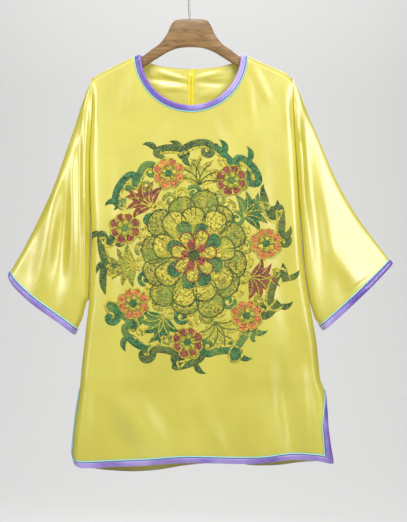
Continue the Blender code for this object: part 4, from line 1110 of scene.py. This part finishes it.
seams = []
for side in (-1, 1):
    across = seam_across(TAPE_DROPS) + side * ZIP_STITCHES
    line = np.hstack(outer_face(across, TAPE_DROPS + BELOW_NECK_BAND, False))
    seams += [stitched(line, line, 0.0, height) for height in (STITCH_RISE, -SATIN_THICK - STITCH_RISE)]
yellow_thread = new_finish("yellow_thread", Base_Color=(0.52, 0.40, 0.04, 1), Roughness=0.5)
trims[1].append(make_piece("zip_stitches", *joined(seams), yellow_thread, "zip_yellow"))

steel = new_finish("plated_steel", Metallic=1.0, Base_Color=(0.36, 0.34, 0.30, 1), Roughness=0.3)
here = add_node(steel, "ShaderNodeTexCoord").outputs["Object"]
scuffs = add_noise(steel, here, 350.0, 4.0)
polish = add_node(steel, "ShaderNodeMapRange", {"Value": scuffs, "To Min": 0.2, "To Max": 0.42})
feed_shader(steel, Roughness=polish.outputs["Result"], Normal=add_bump(steel, scuffs, 0.06, 0.0002))
for node in ("zip_slider", "zip_pull"):
    metal = frame["nodes"][node]
    metal.material_slots[0].material = steel
    metal.modifiers.new("Weld", "WELD").merge_threshold = 0.01 * MM
    rounded = metal.modifiers.new("Bevel", "BEVEL")
    rounded.width = 0.3 * MM
    rounded.segments = 2

# The needlework. A round of flowers, leaves, curls and ribbons in olive gold, green and brick red
# cord, couched on to the front. Each patch is a row of cords laid side by side over a padding.
CORD = 3.4
CORD_POINTS = 4
CORD_STEP = 1.7
CORD_RIDGE = 0.5
CORD_UNEVEN, UNEVEN_RUN, UNEVEN_SHIFT = 0.12, 2.3, 2.4  # height, run of a radian, shift per cord
PADDING = 0.9
DOME_GROWTH = 1.6  # how much faster than the patch's width the dome grows to its full height
RING_RISE = 0.55  # how far each ring of petals lies over the last
KNOT = 5.2
SUNK = 0.25  # how far a patch's edge goes into the satin
SIDE_CLEAR = 3.0  # how far from the body's sides the needlework stops
ROUND_CENTRE = (6.0, 380.0)
ROUND_HALF = (178.0, 214.0)


def leaf_width(s):
    """Half a sine wave, widest near the start."""
    return np.sin(np.pi * s**0.8) ** 1.05


def petal_width(s):
    """Widens to three quarters of the way and ends in a round tip."""
    widening = 0.22 + 0.78 * np.sin(np.pi / 2 * np.minimum(s / 0.72, 1))
    return widening * np.sqrt(1 - np.maximum((s - 0.72) / 0.28, 0) ** 2)


def ribbon_width(s):
    """As wide all along, but for two short rounded ends."""
    return np.minimum(np.minimum(s / 0.10, (1 - s) / 0.16), 1) ** 0.6


def knot_width(s):
    """A circle."""
    return np.sqrt(np.maximum(1 - (2 * s - 1) ** 2, 0))


def patch(path, width, shape, base=0.0, aside=0.0):
    """Cords laid along a path, which is a smooth line through a few points.

    The patch reaches half its width to both sides. Its height is the padding's dome, with a round
    ridge for each cord and a slow unevenness along it, and falls to the cloth at its edge. The
    seed, which comes from its first point, gives each patch its own part of the thread's pattern.
    """
    knots = np.array(path, float)
    length = np.hypot(*np.diff(knots, axis=0).T).sum()
    s = np.linspace(0, 1, max(int(length / CORD_STEP), 6) + 1)
    middle = line_through(knots, s)
    way = np.gradient(middle, axis=0)
    way /= np.maximum(np.hypot(*way.T), 1e-9)[:, None]
    side = np.stack([-way[:, 1], way[:, 0]], axis=-1)
    cords = max(round(width / CORD), 1)
    t = np.linspace(-1, 1, cords * CORD_POINTS + 1)
    reach = shape(s)[:, None] * width / 2 * t + aside
    places = middle[:, None] + reach[..., None] * side[:, None]
    left, right, _ = body_sides(places[..., 1], "front")
    places[..., 0] = np.clip(places[..., 0], left + SIDE_CLEAR, right - SIDE_CLEAR)
    cord = (t + 1) / 2 * cords
    shift = UNEVEN_SHIFT * np.floor(cord - 1e-6)
    uneven = CORD_UNEVEN * np.sin(s[:, None] * length / UNEVEN_RUN + shift)
    dome = PADDING * np.sqrt(1 - t**2) * np.minimum(shape(s)[:, None] * DOME_GROWTH, 1)
    ridges = CORD_RIDGE * np.abs(np.sin(np.pi * cord)) ** 0.7
    height = (base + dome + ridges + uneven) * (1 - np.abs(t) ** (2 * cords + 2)) - SUNK
    face, normal = outer_face(places[..., 0], places[..., 1], True)
    points = face + normal * height[..., None]
    seed = 7.3 * knots[0, 0] + 3.1 * knots[0, 1]
    along = np.broadcast_to(s[:, None] * length / 10 + seed, places.shape[:2])
    uv = np.stack([along, np.broadcast_to(cord + np.floor(seed), along.shape)], axis=-1)
    return points.reshape(-1, 3), cells(np.arange(along.size).reshape(along.shape)), uv.reshape(-1, 2)


def polar(centre, angle, radius):
    """A point at an angle in degrees, clockwise from the right as the front is seen."""
    turn = math.radians(angle)
    return centre[0] + radius * math.cos(turn), centre[1] + radius * math.sin(turn)


def in_round(angle, share):
    """A point of the round at an angle and a share of the way out to its edge."""
    turn = math.radians(angle)
    return (ROUND_CENTRE[0] + share * ROUND_HALF[0] * math.cos(turn),
            ROUND_CENTRE[1] + share * ROUND_HALF[1] * math.sin(turn))


def bowed(start, end, bow):
    """Points from start to end along an arc that stands off their chord by a share of its length."""
    s = np.linspace(0, 1, 7)[:, None]
    start, end = np.array(start), np.array(end)
    chord = end - start
    return start + s * chord + 4 * s * (1 - s) * bow * np.array([-chord[1], chord[0]])


def curl(start, heading, radius, turns, side):
    """A spiral that leaves a place in a heading and winds in to one side."""
    angle = math.radians(heading)
    centre = np.array(start) + radius * side * np.array([-math.sin(angle), math.cos(angle)])
    sweep = np.linspace(0, 2 * np.pi * turns, int(14 * turns) + 2)
    shrink = radius * (1 - 0.74 * (sweep / sweep[-1]) ** 0.9)
    at = angle - side * np.pi / 2 + side * sweep
    return centre + shrink[:, None] * np.stack([np.cos(at), np.sin(at)], axis=-1)


needlework = {name: [] for name in ("gold", "olive", "green", "emerald", "red", "coral")}


def petal_rim(path, width, base):
    """A single cord round a petal's tip and sides."""
    s = np.linspace(0, 1, 15)
    middle = line_through(path, s)
    way = np.gradient(middle, axis=0)
    way /= np.hypot(*way.T)[:, None]
    side = np.stack([-way[:, 1], way[:, 0]], axis=-1) * (petal_width(s) * width / 2 - 0.8)[:, None]
    return patch(np.vstack([(middle + side)[4:], (middle - side)[:3:-1]]), CORD, ribbon_width, base + 0.75)


def bloom(centre, rings, heart, heart_size, lift=0.0, tall=1.0):
    """Rings of petals, each ring over the last, with a cord round each petal and a knotted heart."""
    for level, (colour, edge, count, inner, outer, width, start) in enumerate(rings):
        for k in range(count):
            angle = start + 360 * k / count + 4 * math.sin(5 * k + level)
            reach = outer * (1 + 0.05 * math.sin(3.7 * k + level))
            path = bowed(polar(centre, angle, inner), polar(centre, angle + 5, reach), 0.04)
            path[:, 1] = centre[1] + tall * (path[:, 1] - centre[1])
            base = lift + RING_RISE * level + 0.22 * (k % 2)
            needlework[colour].append(patch(path, width, petal_width, base))
            if edge:
                needlework[edge].append(petal_rim(path, width, base))
    base = lift + RING_RISE * len(rings) + 0.5
    for ring, count in ((0.0, 1), (0.5, 6), (1.0, 11)):
        for k in range(count):
            x, z = polar(centre, 360 * k / count, heart_size * ring)
            across = [(x + step * KNOT / 2, z) for step in (-1, 0, 1)]
            needlework[heart].append(patch(across, KNOT, knot_width, base))


def leaf(start, end, width, colour, rib, bow, base):
    """A bowed leaf with a single cord along its middle, which stops short of the tip."""
    needlework[colour].append(patch(bowed(start, end, bow), width, leaf_width, base))
    tip = np.array(start) + 0.86 * (np.array(end) - np.array(start))
    needlework[rib].append(patch(bowed(start, tip, bow), CORD * 0.9, ribbon_width, base + 0.9))


# Ribbons wave round the outside and end in curls. Each has a gold cord along its inner side and
# a tongue at each bend.
RIBBONS, RIBBON_WIDE = 9, 14.5
RIBBON_EDGE_WIDE, RIBBON_EDGE_ASIDE = 1.6 * CORD, 8.4
TONGUE_LONG, TONGUE_WIDE = 31, 12.5
SCROLL_WIDE = 6.8
for k in range(RIBBONS):
    first = 360 * k / RIBBONS + 4
    colour = ("green", "emerald")[k % 2]
    s = np.linspace(0, 1, 25)
    angle = np.radians(first + 30 * s + 5 * np.sin(4 * np.pi * s + 1.3 * k))
    swing = 0.94 + 0.06 * np.sin(2 * np.pi * 1.5 * s + 1.9 * k)
    wave = np.stack([ROUND_CENTRE[0] + ROUND_HALF[0] * swing * np.cos(angle),
                     ROUND_CENTRE[1] + ROUND_HALF[1] * swing * np.sin(angle)], axis=-1)
    heading = math.degrees(math.atan2(*(wave[-1] - wave[-2])[::-1]))
    ribbon = np.vstack([wave, curl(wave[-1], heading, 13 + 2 * (k % 2), 1.1, 1)[1:]])
    needlework[colour].append(patch(ribbon, RIBBON_WIDE, ribbon_width, 0.1))
    edge = patch(ribbon[3:-5], RIBBON_EDGE_WIDE, ribbon_width, 0.4, RIBBON_EDGE_ASIDE)
    needlework["gold"].append(edge)
    for bend in (6, 12, 18):
        out = math.degrees(angle[bend])
        tip = polar(wave[bend], out + 200 * (bend == 12) - 40, TONGUE_LONG)
        needlework[colour].append(patch(bowed(wave[bend], tip, 0.22), TONGUE_WIDE, leaf_width))
    for share, heading, size in ((0.80, 200, 11), (0.86, 20, 9)):
        scroll = curl(in_round(first + 220 * (1 - share) - 22, share), first + heading, size, 1.3, -1)
        needlework["olive" if size > 10 else "gold"].append(patch(scroll, SCROLL_WIDE, ribbon_width, 0.2))

# Sprays of leaves and small blooms lie in turn between the ribbons and the ring of curls.
SPRAYS = 7
SPRAY_LONG, SPRAY_WIDE, SPRAY_BOW = 60, 17, 0.16
SPRAY_LEANS = (-76, -50, -25, 0, 25, 50, 76)
SHORTER_BY_LEAN = 0.22  # for each degree
for k in range(SPRAYS):
    middle = 360 * k / SPRAYS + 18
    colour, rib = (("red", "gold"), ("gold", "green"), ("emerald", "gold"), ("olive", "gold"))[k % 4]
    root = in_round(middle, 0.62)
    for lean in SPRAY_LEANS:
        tip = polar(root, middle + lean, SPRAY_LONG - SHORTER_BY_LEAN * abs(lean))
        bow = SPRAY_BOW if lean < 0 else -SPRAY_BOW
        leaf(root, tip, SPRAY_WIDE, colour, rib, bow, 0.15 + 0.1 * (lean == 0))
    spot = in_round(middle + 180 / SPRAYS, 0.77)
    warm = ("coral", "red")[k % 2]
    bloom(spot, ((warm, "gold", 8, 5, 29, 20, 12), ("gold", "olive", 6, 3, 16, 12, 30)), "emerald", 5, 1.3)

# A ring of close curls frames the great bloom in the middle.
CURLS, CURL_RADIUS, CURL_WIDE = 26, 14, 8.2
CURL_TURNS, CURLS_OUT = 1.25, 0.575
for k in range(CURLS):
    angle = 360 * k / CURLS
    path = curl(in_round(angle, CURLS_OUT), angle + 25, CURL_RADIUS, CURL_TURNS, 1)
    colour = ("gold", "olive", "gold", "emerald")[k % 4]
    needlework[colour].append(patch(path, CURL_WIDE, ribbon_width, 0.9))

bloom(ROUND_CENTRE, (("olive", "green", 12, 36, 100, 52, 4), ("gold", "green", 9, 20, 80, 46, 24),
                     ("emerald", "gold", 8, 10, 56, 33, 10), ("gold", "red", 7, 6, 42, 26, 32),
                     ("red", "coral", 5, 4, 24, 17, 30)), "emerald", 9, 0.9, 1.2)

THREADS = {
    "gold": ((0.22, 0.19, 0.008), (0.70, 0.60, 0.05), (0.44, 0.42, 0.03)),
    "olive": ((0.13, 0.13, 0.007), (0.46, 0.42, 0.03), (0.16, 0.26, 0.02)),
    "green": ((0.010, 0.038, 0.004), (0.09, 0.16, 0.015), (0.15, 0.18, 0.015)),
    "emerald": ((0.008, 0.055, 0.012), (0.045, 0.20, 0.045), (0.17, 0.27, 0.03)),
    "red": ((0.11, 0.016, 0.010), (0.37, 0.085, 0.035), (0.27, 0.07, 0.02)),
    "coral": ((0.32, 0.075, 0.012), (0.72, 0.24, 0.06), (0.56, 0.15, 0.03)),
}
for name, (dark, light, tinge) in THREADS.items():
    cord = new_finish(f"{name}_cord", Roughness=0.42, Specular_IOR_Level=0.5, Sheen_Weight=0.2)
    here = add_node(cord, "ShaderNodeTexCoord")
    lay = add_node(cord, "ShaderNodeMapping", {"Vector": here.outputs["UV"], "Scale": (4.0, 1.0, 1)})
    knots = add_node(cord, "ShaderNodeTexVoronoi", {"Vector": lay.outputs["Vector"], "Scale": 0.85})
    mix = add_node(cord, "ShaderNodeSeparateXYZ", {"Vector": knots.outputs["Color"]})
    dye = add_ramp(cord, mix.outputs["X"], 0.15, 0.75, dark, light)
    drift = add_noise(cord, here.outputs["Object"], 34.0, 1.0)
    share = add_node(cord, "ShaderNodeMapRange",
                     {"Value": drift, "From Min": 0.48, "From Max": 0.62, "To Max": 0.6})
    shaded = add_node(cord, "ShaderNodeMix", {"Factor": share.outputs["Result"]}, data_type="RGBA")
    cord.node_tree.links.new(dye, shaded.inputs[6])
    shaded.inputs[7].default_value = (*tinge, 1)
    ply = add_bump(cord, knots.outputs["Distance"], 1.0, 0.0016, invert=True)
    feed_shader(cord, Base_Color=shaded.outputs[2], Normal=ply)
    points, faces = joined([part[:2] for part in needlework[name]])
    uv = np.vstack([uv for _, _, uv in needlework[name]])
    towards = point_normals(points, faces)[:, 1].mean()
    faces = faces if towards < 0 else faces[:, ::-1]
    trims["front"].append(make_piece(f"needlework_{name}", points, faces, cord, "satin", uv, sharp=180))

# The hanger. Its arms and crown are one piece of wood, rounded all round, with the grain along it.
HANGER = table(
    "out top bottom",
    (0, 68.6, 15), (14, 68.5, 14.3), (26, 67.4, 12.4), (33, 64.1, 10), (38, 57, 8.2), (43.5, 44.5, 5.8),
    (55, 27, -1), (75, 11, -13.5), (96, -3.6, -26), (108, -6, -32.5), (125, -12.9, -41),
    (140, -20.4, -47.5), (171, -35.6, -59.5), (177, -38.7, -62),
)  # fmt: skip
ARM_THICK, ARM_CORNER, ARM_END, ARM_END_ROUND = 12.0, 6.0, 177.0, 10.0
SECTION_STEP, CORNER_POINTS = 3.0, 7
END_SHARE = 0.25  # of the thickness, at the very end of an arm
CORNER_AT_MOST = 0.9  # of half the thickness


def hanger_form():
    """Rounded sections from the end of one arm to the end of the other, and grain along them."""
    straight = np.arange(0, ARM_END - ARM_END_ROUND, SECTION_STEP)
    half = np.concatenate([straight, ARM_END - ARM_END_ROUND * np.linspace(1, 0, 10) ** 2])
    across = np.concatenate([-half[:0:-1], half])
    out = np.abs(across)
    top, bottom = (through(out, HANGER["out"], HANGER[edge]) for edge in ("top", "bottom"))
    from_end = np.clip((ARM_END - out) / ARM_END_ROUND, 0, 1)
    taper = np.sqrt(1 - (1 - from_end) ** 2) * (1 - END_SHARE) + END_SHARE
    high, deep = (top - bottom) / 2 * taper, ARM_THICK / 2 * taper
    corner = np.minimum(ARM_CORNER, CORNER_AT_MOST * np.minimum(high, deep))
    turn = np.concatenate([np.linspace(q, q + 1, CORNER_POINTS) for q in range(4)]) * np.pi / 2
    away = np.sign(np.cos(turn - 1e-6)) * (deep - corner)[:, None] + corner[:, None] * np.cos(turn)
    up = np.sign(np.sin(turn + 1e-6)) * (high - corner)[:, None] + corner[:, None] * np.sin(turn)
    return across, away, up, (top + bottom) / 2


across, away, up, middle = hanger_form()
points = np.stack([np.broadcast_to(across[:, None], away.shape), away, -(middle[:, None] + up)], axis=-1)
run = length_along(np.stack([across, middle], axis=-1))
uv = np.stack([np.broadcast_to(run[:, None], away.shape), points[..., 2]], axis=-1).reshape(-1, 2) / 10

wood = new_finish("varnished_wood", Roughness=0.38, Coat_Weight=0.4, Coat_Roughness=0.2)
here = add_node(wood, "ShaderNodeTexCoord")
streak = add_node(wood, "ShaderNodeMapping", {"Vector": here.outputs["Object"], "Scale": (9.0, 60.0, 60.0)})
grain = add_noise(wood, streak.outputs["Vector"], 3.2, 6.0, Roughness=0.62, Distortion=0.6)
dye = add_ramp(wood, grain, 0.33, 0.68, (0.15, 0.070, 0.020), (0.33, 0.200, 0.075))
feed_shader(wood, Base_Color=dye, Normal=add_bump(wood, grain, 0.15, 0.0005))
hanger = make_piece("hanger_wood", points.reshape(-1, 3), tube(points), wood, "hanger_wood", uv)
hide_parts("hanger")

# The hook. One bent wire: a stem screwed into the crown, a bend, and most of a circle on top.
WIRE, HOOK_RADIUS, HOOK_UP = 4.0, 19.0, 143.0
STEM = ((-2.2, 67.4), (-2.2, 68.6), (-3.2, 106), (-2.6, 111), (0.6, 116.5), (5.5, 120.5))
HOOK_TURNS = np.radians(np.arange(-58, 200, 14))
WIRE_SIDES, WIRE_RINGS = 20, 141

ring = np.stack([HOOK_RADIUS * np.cos(HOOK_TURNS), HOOK_UP + HOOK_RADIUS * np.sin(HOOK_TURNS)], axis=-1)
line = line_through(np.vstack([STEM, ring]), np.linspace(0, 1, WIRE_RINGS))
length = length_along(line)
way = np.gradient(line, axis=0)
way /= np.hypot(*way.T)[:, None]
side = np.stack([way[:, 1], -way[:, 0]], axis=-1)
to_tip = np.clip((length[-1] - length) / (WIRE / 2), 0, 1)
radius = WIRE / 2 * np.maximum(np.sqrt(1 - (1 - to_tip) ** 2), 0.05)
turn = 2 * np.pi * np.arange(WIRE_SIDES) / WIRE_SIDES
flat = line[:, None] + (radius[:, None] * np.cos(turn))[..., None] * side[:, None]
points = np.stack([flat[..., 0], radius[:, None] * np.sin(turn), -flat[..., 1]], axis=-1)
hook_wire = make_piece("hook_wire", points.reshape(-1, 3), tube(points), steel, "steel", sharp=60)
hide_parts("hook")
